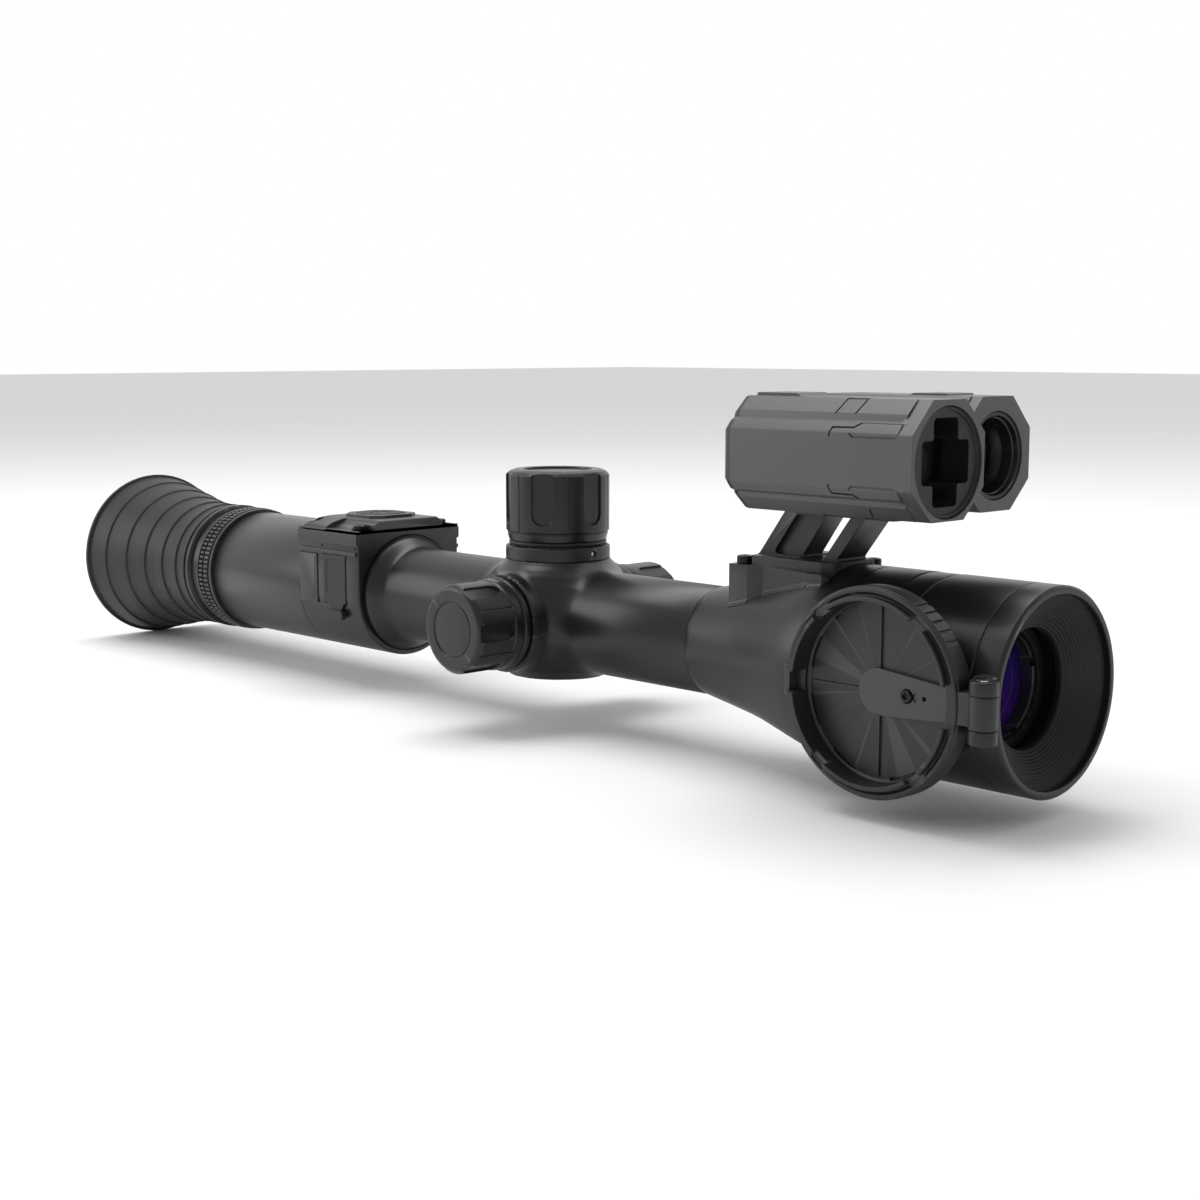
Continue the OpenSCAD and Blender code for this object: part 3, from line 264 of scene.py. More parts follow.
def smooth(o, angle=32):
    """Smooth shading, with edges sharper than angle kept."""
    bm = bmesh.new()
    bm.from_mesh(o.data)
    for f in bm.faces:
        f.smooth = True
    for e in bm.edges:
        e.smooth = len(e.link_faces) == 2 and e.calc_face_angle(0) < math.radians(angle)
    bm.to_mesh(o.data)
    bm.free()


# ---- materials ------------------------------------------------------------

PAINTED_REFLECTION_HALF = 14.0        # half the height over which a lens's painted reflection runs


def ranged(nt, source, from_lo, from_hi, to_lo, to_hi):
    """Maps one range of a value onto another."""
    node = nt.nodes.new("ShaderNodeMapRange")
    for key, value in (("From Min", from_lo), ("From Max", from_hi), ("To Min", to_lo), ("To Max", to_hi)):
        node.inputs[key].default_value = value
    nt.links.new(source, node.inputs["Value"])
    return node.outputs[0]


def noise(nt, vector, scale, detail):
    node = nt.nodes.new("ShaderNodeTexNoise")
    node.inputs["Scale"].default_value = scale
    node.inputs["Detail"].default_value = detail
    nt.links.new(vector, node.inputs["Vector"])
    return node.outputs["Fac"]


def mixed(nt, factor, a, b, blend="MIX"):
    """Mixes two colours. Each of the three is a socket or a value."""
    node = nt.nodes.new("ShaderNodeMix")
    node.data_type = "RGBA"
    node.blend_type = blend
    for key, value in (("Factor", factor), ("A", a), ("B", b)):
        if isinstance(value, bpy.types.NodeSocket):
            nt.links.new(value, node.inputs[key])
        else:
            node.inputs[key].default_value = value
    return node.outputs["Result"]


def surface(name, colour, rough, grain=0.25, bump=0.1, metallic=0.0, wear_and_highlight=0.25, spec=0.5, round_edge=0.22,
            stretch=None):
    """A satin surface: fine grain in colour, roughness and height, lighter on its edges from wear and a
    painted edge highlight.
    """
    mat = bpy.data.materials.new(name)
    mat.use_nodes = True
    nt = mat.node_tree
    n, link = nt.nodes, nt.links
    p = n["Principled BSDF"]
    p.inputs["Metallic"].default_value = metallic
    p.inputs["Specular IOR Level"].default_value = spec
    co = n.new("ShaderNodeTexCoord").outputs["Object"]
    place = n.new("ShaderNodeMapping")
    place.inputs["Scale"].default_value = stretch or (1, 1, 1)
    link.new(co, place.inputs["Vector"])
    fine = noise(nt, place.outputs[0], 1 / (grain * MM), 4)
    broad = noise(nt, co, 40, 5)
    # colour: base, broad tone, and lighter edges that are partly wear and partly a painted highlight
    base = mixed(nt, 1, (*colour, 1), ranged(nt, broad, 0.3, 0.7, 0.88, 1.12), "MULTIPLY")
    # painted highlight mixed with real edge wear: a lighter colour where Pointiness marks sharp convex edges
    edge = ranged(nt, n.new("ShaderNodeNewGeometry").outputs["Pointiness"], 0.53, 0.62, 0, wear_and_highlight)
    worn_and_highlight_colour = (*[min(1, 0.16 + 1.6 * c) for c in colour], 1)
    link.new(mixed(nt, edge, base, worn_and_highlight_colour), p.inputs["Base Color"])
    link.new(ranged(nt, fine, 0.25, 0.75, rough - 0.05, rough + 0.06), p.inputs["Roughness"])
    # height: grain over softly rounded edges
    soft = n.new("ShaderNodeBevel")
    soft.samples = 4
    soft.inputs["Radius"].default_value = round_edge * MM
    relief = n.new("ShaderNodeBump")
    relief.inputs["Strength"].default_value = bump
    relief.inputs["Distance"].default_value = 0.05 * MM
    link.new(fine, relief.inputs["Height"])
    link.new(soft.outputs[0], relief.inputs["Normal"])
    link.new(relief.outputs[0], p.inputs["Normal"])
    return mat


def lens(name, top, bottom, rough=0.03, metallic=0.0, middle=0.0):
    """Coated glass with a painted reflection: its colour runs from bottom to top."""
    mat = bpy.data.materials.new(name)
    mat.use_nodes = True
    nt = mat.node_tree
    n, link = nt.nodes, nt.links
    p = n["Principled BSDF"]
    p.inputs["Metallic"].default_value = metallic
    p.inputs["Coat Weight"].default_value = 1.0
    p.inputs["Coat Roughness"].default_value = 0.02
    p.inputs["IOR"].default_value = 1.6
    co = n.new("ShaderNodeTexCoord").outputs["Object"]
    part = n.new("ShaderNodeSeparateXYZ")
    link.new(co, part.inputs[0])
    # painted reflection: the base colour is graded by height, from the bottom colour to the top one
    up = ranged(nt, part.outputs["Z"], (middle - PAINTED_REFLECTION_HALF) * MM, (middle + PAINTED_REFLECTION_HALF) * MM, 0, 1)
    dust = noise(nt, co, 900, 2)
    link.new(ranged(nt, dust, 0, 1, rough, rough + 0.03), p.inputs["Roughness"])
    link.new(mixed(nt, up, (*bottom, 1), (*top, 1)), p.inputs["Base Color"])
    return mat


ANODISED = surface("anodised", (0.012, 0.0125, 0.0135), 0.33, grain=0.18, bump=0.12, metallic=0.35,
    wear_and_highlight=0.3, spec=0.6)
GREY = surface("grey_anodised", (0.02, 0.0215, 0.023), 0.42, grain=0.16, bump=0.14, metallic=0.3,
    wear_and_highlight=0.35, spec=0.5)
TURNED = surface("turned", (0.012, 0.0125, 0.0135), 0.3, grain=0.3, bump=0.08, metallic=0.4, wear_and_highlight=0.3,
    spec=0.6, stretch=(6, 0.6, 0.6))
INNER = surface("inner_black", (0.008, 0.008, 0.0085), 0.5, grain=0.25, bump=0.1, metallic=0.2, wear_and_highlight=0.1)
RUBBER = surface("rubber", (0.01, 0.0102, 0.0108), 0.48, grain=0.3, bump=0.25, wear_and_highlight=0.12, spec=0.4,
    round_edge=0.3)
PLASTIC = surface("plastic", (0.013, 0.0135, 0.0145), 0.42, grain=0.22, bump=0.2, wear_and_highlight=0.2, spec=0.5)
BLACK_STEEL = surface("black_steel", (0.016, 0.016, 0.017), 0.3, grain=0.2, bump=0.1, metallic=0.8,
    wear_and_highlight=0.3)
STEEL = surface("steel", (0.5, 0.5, 0.51), 0.25, grain=0.2, bump=0.06, metallic=1.0, wear_and_highlight=0.1)
BRASS = surface("brass", (0.6, 0.45, 0.18), 0.3, grain=0.2, bump=0.08, metallic=1.0, wear_and_highlight=0.1)
BOARD = surface("board", (0.02, 0.11, 0.05), 0.4, grain=0.5, bump=0.15, wear_and_highlight=0.1)
FILM = surface("film", (0.5, 0.25, 0.05), 0.3, grain=0.4, bump=0.05, wear_and_highlight=0.1)
SLEEVE = surface("sleeve", (0.05, 0.11, 0.32), 0.35, grain=0.4, bump=0.05, wear_and_highlight=0.1)
CHIP = surface("chip", (0.02, 0.024, 0.05), 0.12, grain=0.4, bump=0.02, wear_and_highlight=0.05)
# the lenses below carry painted reflections: each colour is graded from the bottom value to the top value
OBJECTIVE = lens("objective_coating", (0.006, 0.016, 0.16), (0.07, 0.012, 0.2), metallic=0.35)
CLEAR = lens("clear_lens", (0.03, 0.04, 0.07), (0.04, 0.03, 0.06), metallic=0.3)
MIRROR_LENS = lens("emitter_coating", (0.75, 0.75, 0.76), (0.5, 0.5, 0.52), rough=0.12, metallic=1.0,
    middle=BARREL_Z)
DEEP_LENS = lens("receiver_coating", (0.05, 0.05, 0.055), (0.2, 0.2, 0.21), rough=0.06, metallic=0.7,
    middle=BARREL_Z)

# ---- eyepiece -------------------------------------------------------------


def eyecup():
    """Flared rubber cup with soft ledges and a thin rim."""
    x0, r0 = CUP_LO[0], CUP_HI[1]
    front = CUP_HI[0]
    wall = 1.7

    def outer(x):
        if x < -198:
            return r0 - (x - x0) * 0.207
        return 22.2 + (1.27 * ((x + 182) / 16) ** 2 if x < -182 else 0)

    ledges = [x0 + 2.4, -220.4, -209.4, -199.6, -189.8, -181.0, front]
    pts = [(x0, r0 - 1.6, 0.5), (x0, r0, 0.6), (x0 + 1.6, r0, 0.3), (x0 + 1.9, outer(x0 + 1.9) - 0.6, 0.2)]
    for a, b in zip(ledges[:-1], ledges[1:]):
        pts += [(a + 0.02, outer(a) - 0.55, 0.12), (a + (b - a) / 2, outer((a + b) / 2) - 0.35, 3)]
        pts += [(b - 0.25, outer(b), 0.18)]
    pts += [(front, 21.0, 0.3), (front, 19.7), (-187, 19.7), (-187, 20.2)]
    pts += [(x, outer(x) - wall, 1) for x in (-198, -212, x0 + 8)]
    dress(lathe("eyecup_skin", pts), RUBBER, "sight", ["eyecup"])


def clamp_ring():
    """Bright-edged ring between eyecup and diopter."""
    x0, x1, r = RING_LO[0], RING_HI[0], RING_HI[1]
    pts = [(x0, 19.7), (x0, r - 0.5, 0.2), (x0 + 1.2, r, 0.25), (x0 + 2.8, r, 0.3),
        (x0 + 3.5, r - 0.9, 0.2)]
    pts += [(x0 + 3.6, 20.9, 0.15), (x1, 20.9, 0.1), (x1, 19.7)]
    dress(lathe("clamp_ring", pts), TURNED, "sight", ["eyecup_ring"])


def toothed(name, stations, teeth, depth, seg):
    """A ring about X whose radius is cut into rounded teeth. stations are (x, radius, cut depth share)."""
    verts, faces = [], []
    for x, r, share in stations:
        for k in range(seg):
            t = FULL * k / seg
            wave = 0.5 - 0.5 * math.cos(teeth * t)
            rr = r - depth * share * (1 - min(1, 1.9 * wave))
            verts.append((x, rr * math.cos(t), rr * math.sin(t)))
    n = len(stations)
    for i in range(n):
        j = (i + 1) % n
        for k in range(seg):
            m = (k + 1) % seg
            faces.append((i * seg + k, i * seg + m, j * seg + m, j * seg + k))
    return build(name, verts, faces)


def diopter():
    """Knurled ring: two rows of fine teeth with a groove between them."""
    x0, x1, r = DIOPTER_LO[0], DIOPTER_HI[0], DIOPTER_HI[1] - 0.02
    bore = 19.66
    st = [(x0, bore, 0), (x0, r - 0.5, 0), (x0 + 0.25, r - 0.2, 0), (x0 + 0.9, r - 0.2, 0),
        (x0 + 1.1, r - 0.9, 0)]
    st += [(x0 + 1.5, r - 0.9, 0), (x0 + 1.7, r - 0.1, 1), (x0 + 3.9, r, 1), (x0 + 4.1, r - 0.8, 0)]
    st += [(x0 + 4.6, r - 0.8, 0), (x0 + 4.8, r, 1), (x0 + 7.2, r - 0.1, 1), (x0 + 7.4, r - 0.9, 0)]
    st += [(x0 + 7.8, r - 0.9, 0), (x0 + 8.0, r - 0.3, 0), (x1 - 0.2, r - 0.3, 0), (x1, r - 0.5, 0),
        (x1, bore, 0)]
    dress(toothed("diopter_knurl", st, 84, 0.75, 84 * 8), ANODISED, "diopter", ["diopter_ring"],
        angle=40)


# ---- electronics housing --------------------------------------------------

BOX_X0, BOX_X1 = COVER_LO[0], COVER_HI[0]
BOX_TOP = 20.2


def u_ring(x, r, top, grow=0.0, seg=48):
    """Section of the box: half round below, straight flanks and flat top."""
    out = []
    for k in range(seg + 1):
        t = math.pi + math.pi * k / seg
        out.append((x, (r + grow) * math.cos(t), (r + grow) * math.sin(t)))
    for k in range(1, 9):
        out.append((x, r + grow, top * k / 8))
    for k in range(1, 25):
        out.append((x, (r + grow) * (1 - 2 * k / 24), top))
    for k in range(1, 8):
        out.append((x, -r - grow, top * (1 - k / 8)))
    return out


def circle_like(ring, x, r):
    """A circle with one point for each point of a ring, at the same angle."""
    out = []
    for p in ring:
        t = math.atan2(p[2], p[1])
        out.append((x, r * math.cos(t), r * math.sin(t)))
    return out


def loft(name, rings, closed_ends=True):
    n = len(rings[0])
    verts = [p for ring in rings for p in ring]
    faces = []
    for i in range(len(rings) - 1):
        for k in range(n):
            m = (k + 1) % n
            faces.append((i * n + k, i * n + m, (i + 1) * n + m, (i + 1) * n + k))
    if closed_ends:
        faces.append(tuple(range(n)))
        faces.append(tuple(range((len(rings) - 1) * n, len(rings) * n))[::-1])
    return build(name, verts, faces)


def housing():
    """Round body that turns into a flat-sided box, with flange, ledge and recesses."""
    r = HOUSING_R
    x0 = HOUSING_LO[0]
    tail = [circle_like(u_ring(0, r, BOX_TOP), x, q) for x,
        q in ((x0, 19.7), (x0, r - 0.5), (x0 + 0.15, r - 0.15), (x0 + 0.5, r), (BOX_X0 - 0.02, r))]
    box = [u_ring(x, r, BOX_TOP, g) for x, g in ((BOX_X0, -0.3), (BOX_X0 + 0.3, 0), (BOX_X1 - 0.9, 0),
        (BOX_X1 - 0.35, -0.12), (BOX_X1, -0.5))]
    nose = [circle_like(box[0], x, q) for x, q in ((BOX_X1, 19.1), (BOX_X1 - 0.5, 18.9),
        (BOX_X1 - 0.5, 18.62), (BOX_X1 + 0.78, 18.6), (BOX_X1 + 0.78, 18.34))]
    body = loft("housing_shell", tail + box + nose)
    cuts = [block("cut", (DOOR_LO[0] + 0.55, -30, -3.15), (DOOR_HI[0] - 0.55, -r + 0.9, 13.05), 0.0)]
    cuts.append(block("cut", (PLATE_LO[0] - 0.1, -30, PLATE_LO[2] - 0.1),
        (PLATE_HI[0] + 0.1, -r + 0.5, PLATE_HI[2] + 0.1)))
    cuts.append(block("cut", (DOOR_LO[0] + 3.6, -30, DOOR_LO[2] + 0.6), (DOOR_HI[0] - 1.0, -20.2, -3.0)))
    boolean(body, cuts)
    dress(body, TURNED, "sight", ["rear_housing"], angle=30)
    for side, s in (("near", -1), ("far", 1)):
        flange = prism(
            f"flange_{side}",
            [(s * (r - 1), 16.5), (s * (r + 0.3), 16.5, 0.25), (s * (r + 0.5), 17.4, 0.3),
            (s * (r + 0.5), BOX_TOP, 0.2), (s * (r - 1), BOX_TOP)],
            "yz", BOX_X0 + 0.05, BOX_X1 - 0.05)
        dress(flange, GREY, "sight", [], bevel=0.12)
        ledge = prism(
            f"ledge_{side}",
            [(s * (r - 1), 13.1), (s * (r + 0.5), 13.1, 0.2), (s * (r + 0.7), 13.5, 0.2),
            (s * (r + 0.7), 14.4, 0.3), (s * (r - 1), 14.6)],
            "yz", BOX_X0 + 0.2, BOX_X1 - 0.6)
        dress(ledge, GREY, "sight", [], bevel=0.12)
    # small pilot dimples under the flange
    dots = [rod("dot", "y", -r - 0.32, -r + 0.2, 0.35, (x, 0, 15.6), 20) for x in (BOX_X0 + 13,
        BOX_X1 - 1.6)]
    dress(joined("flange_dots", dots), INNER, "sight", [])
    # plate beside the door, with a fine groove along its front edge
    plate = block("side_panel", (PLATE_LO[0], PLATE_LO[1], PLATE_LO[2]),
        (PLATE_HI[0], PLATE_HI[1], PLATE_HI[2]))
    groove = block("cut", (PLATE_HI[0] - 1.3, -30, PLATE_LO[2] + 0.8),
        (PLATE_HI[0] - 1.05, PLATE_LO[1] + 0.15, PLATE_HI[2] - 0.8))
    boolean(plate, [groove])
    dress(plate, GREY, "sight", ["side_plate"], bevel=0.15)


def connector_door():
    """Rubber door with a rounded foot and an oval pull tab."""
    y0 = DOOR_LO[1]
    x0, x1 = DOOR_LO[0] + 0.75, DOOR_HI[0] - 0.75
    z1 = DOOR_HI[2]
    face = -HOUSING_R - 0.3
    panel = prism(
        "connector_door",
        [(x0, z1, 0.3), (x1, z1, 0.3), (x1, -2.9, 0.8), (x1 - 1.2, -2.9, 0.3), (x1 - 2.6, -5.2, 0.8),
        (x0 + 4.2, -5.2, 0.8),
         (x0 + 2.6, -2.9, 0.4), (x0, -2.9, 1.6)],
        "xz", face, face + 0.85)
    raised = prism(
        "raised",
        [(x0 + 1.6, z1 - 1.6, 1.2), (x1 - 1.6, z1 - 1.6, 1.2), (x1 - 1.6, 0.2, 1.2), (x0 + 1.6, 0.2, 1.2)],
        "xz", face - 0.001, face + 0.16)
    boolean(panel, [raised])
    tab = prism(
        "tab",
        [(x0 + 2.8, -5.0, 1.6), (x0 + 12 - 0.6, -5.0, 1.6), (x0 + 12 - 0.6, -8.2, 1.6),
        (x0 + 2.8, -8.2, 1.6)],
        "xz", y0 + 0.3, face + 0.8, 8)
    pins = rod("pins", "x", DOOR_LO[0], DOOR_HI[0], 0.34, (0, -HOUSING_R + 0.05, 12.5), 24)
    plug = block("plug", (-85.8, -HOUSING_R + 0.5, 0.9), (-83.6, -HOUSING_R + 2.3, 8.1), 0.5)
    dress(joined("connector_door_set", [panel, tab, pins, plug]), RUBBER, "door", ["usb_door"],
        bevel=0.25)


def deck_section(x, bulge, half, top, low):
    """Cross-section of the cover: bulge above 0 is a rounded flank, below 0 a hollow one."""
    r = HOUSING_R
    right = []
    steps = 16
    for k in range(steps + 1):
        t = k / steps
        if bulge > 0:
            a = t * math.pi / 2
            right.append((half - 3 + (r - half + 3) * math.cos(a), low + (top - low) * math.sin(a)))
        else:
            right.append((r - (r - half) * t, low + (top - low) * t**1.9))
    pts = [(x, -r, BOX_TOP), (x, r, BOX_TOP)]
    pts += [(x, y, z) for y, z in right]
    pts += [(x, -y, z) for y, z in reversed(right)]
    return pts


def cover():
    """Button deck: rounded bridge behind, hollow flanks in front, screw pockets, six-sided pad."""
    top = 24.2
    bridge_x0, bridge_x1 = BOX_X0 + 2, BOX_X0 + 15.3
    bridge = loft("bridge", [deck_section(x, 1, 11.8, t, BOX_TOP + 0.45) for x, t in
                             ((bridge_x0, top - 1.2), (bridge_x0 + 0.8, top - 0.3), (bridge_x0 + 2, top),
        (bridge_x1, top))])
    rake = [(bridge_x1 - 0.3, top - 0.04), (BOX_X1 - 0.3, top - 0.04), (BOX_X1, top - 0.34)]
    front = loft("front_deck", [deck_section(x, -1, 11.8, t, BOX_TOP + 0.85) for x, t in rake])
    flange = block("flange_plate", (BOX_X0, -HOUSING_R, BOX_TOP + 0.02),
        (BOX_X1, HOUSING_R, BOX_TOP + 1.02))
    px = (PAD_LO[0] + PAD_HI[0]) / 2
    pad = prism(
        "pad",
        [(px - 10.6, -4.5, 1), (px - 6, -9.6, 1), (px + 6.5, -9.6, 1), (px + 9.6, -5.5, 1),
        (px + 9.6, 5.5, 1),
         (px + 6.5, 9.6, 1), (px - 6, 9.6, 1), (px - 10.6, 4.5, 1)],
        "xy", BOX_TOP + 1.1, top + 0.9)
    parts = []
    for piece in (bridge, front, flange, pad):
        cuts = [rod("cut", "z", BOX_TOP - 1, 30, 8.1, (px, 0, 0), 96)]
        if piece is not pad:
            for y in (-16.6, 16.6):
                for x in (BOX_X0 + 4.5, BOX_X1 - 4.5):
                    cuts.append(rod("cut", "z", BOX_TOP + 0.92, 30, 2.6, (x, y, 0), 40))
                cuts.append(block("cut", (BOX_X1 - 4.5, y - 2.6, BOX_TOP + 0.94),
                    (BOX_X1 + 1, y + 2.6, 31)))
        parts.append(boolean(piece, cuts))
    dress(joined("button_deck", parts), GREY, "sight", ["top_cover"], bevel=0.12,
        angle=28)


def hex_socket(name, centre, r, h, axis="z", flip=1):
    """Socket-head cap screw with a chamfered head."""
    head = lathe(name, [(0, 0), (0, r - 0.05, 0.05), (flip * 0.15, r, 0.1), (flip * (h - 0.3), r, 0.25),
        (flip * h, r - 0.3, 0.1), (flip * h, 0)],
                 axis, (0, 0, 0), 48, closed=False)
    cutter = lathe("cut", [(flip * h * 0.45, 0), (flip * h * 0.45, r * 0.58), (flip * (h + 1), r * 0.58),
        (flip * (h + 1), 0)],
                   axis, (0, 0, 0), 6, closed=False)
    boolean(head, [cutter])
    return moved(head, centre)


def housing_screws():
    z = BOX_TOP + 0.94
    heads = [hex_socket("s", (x, y, z), 2, 1.6) for x in (BOX_X0 + 4.5, BOX_X1 - 4.5) for y in (-16.6,
        16.6)]
    heads += [hex_socket("s", (REAR_LO[0] + 1.62, (RX_Y + TX_Y) / 2 + a * 4.6, BARREL_Z + b * 8), 2, 1.6,
        "x", -1) for a in (-1, 1) for b in (-1, 1)]
    dress(joined("small_screws", heads), BLACK_STEEL, "sight", ["cover_screws"])


def buttons():
    """Four-way ring and its middle key, dished."""
    px = (PAD_LO[0] + PAD_HI[0]) / 2
    top = PAD_HI[2]
    ring = lathe("four_way_ring", [(PAD_LO[2], 3.4), (PAD_LO[2], 7.8), (top - 0.5, 7.8, 0.3),
        (top, 7.2, 0.3), (top - 0.35, 5.4, 0.8), (top - 0.1, 3.7, 0.2), (top - 0.5, 3.4, 0.1)],
                 "z", (px, 0, 0), 96)
    cuts = []
    for k in range(4):
        cuts.append(turned(block("cut", (px + 3.2, -0.25, top - 0.6), (px + 9, 0.25, top + 1)),
            math.pi / 4 + k * math.pi / 2, "Z", (px, 0, 0)))
    boolean(ring, cuts)
    dress(ring, RUBBER, "pad", ["dpad"])
    key = lathe("middle_key", [(KEY_LO[2], 0), (KEY_LO[2], 3.1), (KEY_HI[2] - 0.35, 3.1, 0.3),
        (KEY_HI[2], 2.6, 0.3), (KEY_HI[2] - 0.2, 0)], "z", (px, 0, 0), 64, closed=False)
    dress(key, RUBBER, "ok", ["ok_button"])


# ---- tube and turret ------------------------------------------------------

BODY_Z = [-17, -14.5, -10.5, -5, 0, 5, 11, 13.8, 15.6, 17, 17.6]
BODY_R = [14.6, 17.2, 19.6, 21.1, 21.5, 21.3, 20.3, 18.9, 17.4, 15.9, 15.6]
BOSS_R, BOSS_Y = 14.4, 22.4


def soft_min(a, b, k):
    h = np.clip(0.5 + 0.5 * (b - a) / k, 0, 1)
    return b * (1 - h) + a * h - k * h * (1 - h)


def body_field(x, y, z):
    """Signed distance, roughly, to the tube with its turret body and side bosses blended in."""
    tube = np.hypot(y, z) - TUBE_R
    bulb = np.hypot(x, y) - np.interp(z, BODY_Z, BODY_R)
    boss = np.maximum(np.hypot(x, z) - BOSS_R, np.abs(y) - BOSS_Y)
    one = soft_min(tube, bulb, 5.0)
    d = np.maximum(soft_min(one, boss, 1.6), np.abs(y) - BOSS_Y)
    return np.maximum(d, np.maximum(z - BODY_Z[-1], BODY_Z[0] - z))


def tube():
    """Clamping tube: one skin, its radius found along rays from the optical axis."""
    seg = 288
    x0, x1 = TUBE_LO[0], 66.5
    xs = [x0, BOX_X1 + 0.82 - 0.01, BOX_X1 + 0.82, BOX_X1 + 1.3, BOX_X1 + 2.2, BOX_X1 + 3.4, BOX_X1 + 4.6,
        BOX_X1 + 5.6, BOX_X1 + 6.6]
    rs = [TUBE_R, TUBE_R, 18.3, 18.25, 17.7, 16.8, 15.9, 15.3, TUBE_R]
    stations = [(x, np.full(seg, r)) for x, r in zip(xs, rs)]
    t = np.arange(seg) * FULL / seg
    c, s = np.cos(t), np.sin(t)
    reach = np.arange(13.0, 27.5, 0.25)
    for x in np.linspace(-33, 33, 166):
        d = body_field(x, reach[:, None] * c, reach[:, None] * s)
        inside = d < 0
        last = len(reach) - 1 - np.argmax(inside[::-1], axis=0)
        last = np.minimum(last, len(reach) - 2)
        k = np.arange(seg)
        a, b = d[last, k], d[last + 1, k]
        stations.append((x, reach[last] + 0.25 * a / (a - b)))
    stations += [(x1 - 0.25, np.full(seg, TUBE_R)), (x1, np.full(seg, TUBE_R - 0.25)),
        (x1, np.full(seg, 13.9)), (TUBE_HI[0], np.full(seg, 13.9))]
    rings = [[(x, float(r[k] * c[k]), float(r[k] * s[k])) for k in range(seg)] for x, r in stations]
    dress(loft("tube_and_turret_body", rings), ANODISED, "sight", ["main_tube"], angle=48)


def base_ring():
    z0, z1, r = BASE_LO[2], BASE_HI[2], BASE_HI[0]
    ring = lathe("base_ring_skin", [(z0, 12.6), (z0, r - 0.1, 0.2), (z0 + 0.35, r, 0.2),
        (z1 - 0.3, r, 0.25), (z1, r - 0.4, 0.1), (z1 - 0.05, 14.2, 0.05), (z1 - 0.5, 14.1),
        (z1 - 0.5, 12.6)], "z")
    cuts = [turned(rod("cut", "x", 14.2, 17, 0.95, (0, 0, 19.7), 32), a, "Z") for a in (0, FULL / 3,
        2 * FULL / 3)]
    boolean(ring, cuts)
    dress(ring, GREY, "sight", ["base_ring"], bevel=0.1)
    balls = [turned(lathe("b", [(14.25, 0), (14.25, 0.8), (14.9, 0.75, 0.2), (15.05, 0.45, 0.2),
        (14.8, 0)], "x", (0, 0, 19.7), 24, closed=False), a, "Z") for a in (0, FULL / 3, 2 * FULL / 3)]
    dress(joined("set_screws", balls), STEEL, "sight", [])


def flute(width, foot, end, radius, deep, axis):
    """Cutter for a U-shaped flute whose foot is round and whose other end is open. Drawn on the +X side."""
    half = width / 2
    sign = 1 if end > foot else -1
    outline = [(-half, end), (-half, foot + sign * half)]
    for k in range(1, 12):
        a = math.pi * k / 12
        outline.append((-half * math.cos(a), foot + sign * (half - half * math.sin(a))))
    outline += [(half, foot + sign * half), (half, end)]
    if axis == "z":
        return prism("cut", outline, "yz", radius - deep, radius + 3)
    o = prism("cut", outline, "yz", radius - deep, radius + 3)
    o.data.transform(Matrix(((1, 0, 0, 0), (0, 0, 1, 0), (0, -1, 0, 0), (0, 0, 0, 1))))
    return o


def turret():
    """Fluted cap with fine lines between the flutes."""
    r, top, bottom = CAP_HI[0], CAP_HI[2], CAP_LO[2]
    skirt = 25.8
    body = lathe(
        "turret_cap",
        [(bottom, 0), (bottom, 13.9), (bottom + 0.2, 13.9), (bottom + 0.2, 13.2), (23.2, 13.2),
        (23.3, 14.5, 0.15), (skirt - 0.4, 15.0, 0.1),
         (skirt - 0.35, 14.8, 0.05), (skirt, 14.85, 0.05), (skirt, r - 0.3, 0.2), (skirt + 0.35, r, 0.25),
        (top - 1.6, r, 0.5), (top - 0.5, r - 1.1, 0.4),
         (top, r - 2.6, 0.3), (top, r - 5.1, 0.2), (top - 0.7, r - 5.3, 0.15), (top - 0.7, 0)],
        "z", seg=192, closed=False)
    cuts = []
    for k in range(6):
        cuts.append(turned(flute(6.6, 28.1, top + 1, r, 0.9, "z"), k * FULL / 6, "Z"))
        cuts.append(turned(block("cut", (r - 0.3, -0.16, skirt - 1), (r + 1, 0.16, top)),
            (k + 0.5) * FULL / 6, "Z"))
    boolean(body, cuts)
    dress(body, ANODISED, "cap", ["battery_cap"], bevel=0.14, angle=30)
    z = (22.58, 13.95, 0.6)
    ring = [(z[0] + z[2] * math.sin(a * FULL / 16), z[1] + z[2] * math.cos(a * FULL / 16)) for a in range(16)]
    dress(lathe("neck_seal", ring, "z", seg=128), RUBBER, "cap", ["cap_oring"])


def knob(name, body, node, side):
    """Side knob: skirt ring, seam, six flutes open to the face, fine lines, shallow disc in the face."""
    r, end = 12.9, KNOB_HI[1]
    foot = BOSS_Y
    o = lathe(
        name,
        [(foot + 0.35, 0), (foot + 0.35, 13.2, 0.2), (foot + 0.7, 13.6, 0.3), (foot + 2.0, 13.6, 0.4),
        (foot + 2.4, 13.25, 0.1), (foot + 2.5, 12.9, 0.05),
         (foot + 2.8, 12.9, 0.05), (foot + 2.9, 13.25, 0.15), (foot + 5.4, 13.2, 0.4),
        (foot + 5.9, r, 0.3), (end - 1.2, r, 0.8), (end - 0.3, r - 0.9, 0.5), (end, r - 1.6, 0.3),
         (end, 8.3, 0.15), (end - 0.35, 8.1, 0.1), (end - 0.35, 7.8, 0.1), (end - 0.12, 7.7, 0.1),
        (end - 0.12, 0)],
        "y", seg=192, closed=False)
    cuts = []
    for k in range(6):
        cuts.append(turned(flute(5.0, foot + 6.3, end + 1, r, 0.8, "y"), k * FULL / 6, "Y"))
        cuts.append(turned(block("cut", (r - 0.25, foot + 5.2, -0.15), (r + 1, end, 0.15)),
            (k + 0.5) * FULL / 6, "Y"))
    boolean(o, cuts)
    if side < 0:
        o.data.transform(Matrix.Scale(-1, 4, (0, 1, 0)))
        o.data.flip_normals()
    dress(o, ANODISED, body, [node], bevel=0.12, angle=30)


# ---- objective ------------------------------------------------------------

LUG_TOP = 21.7


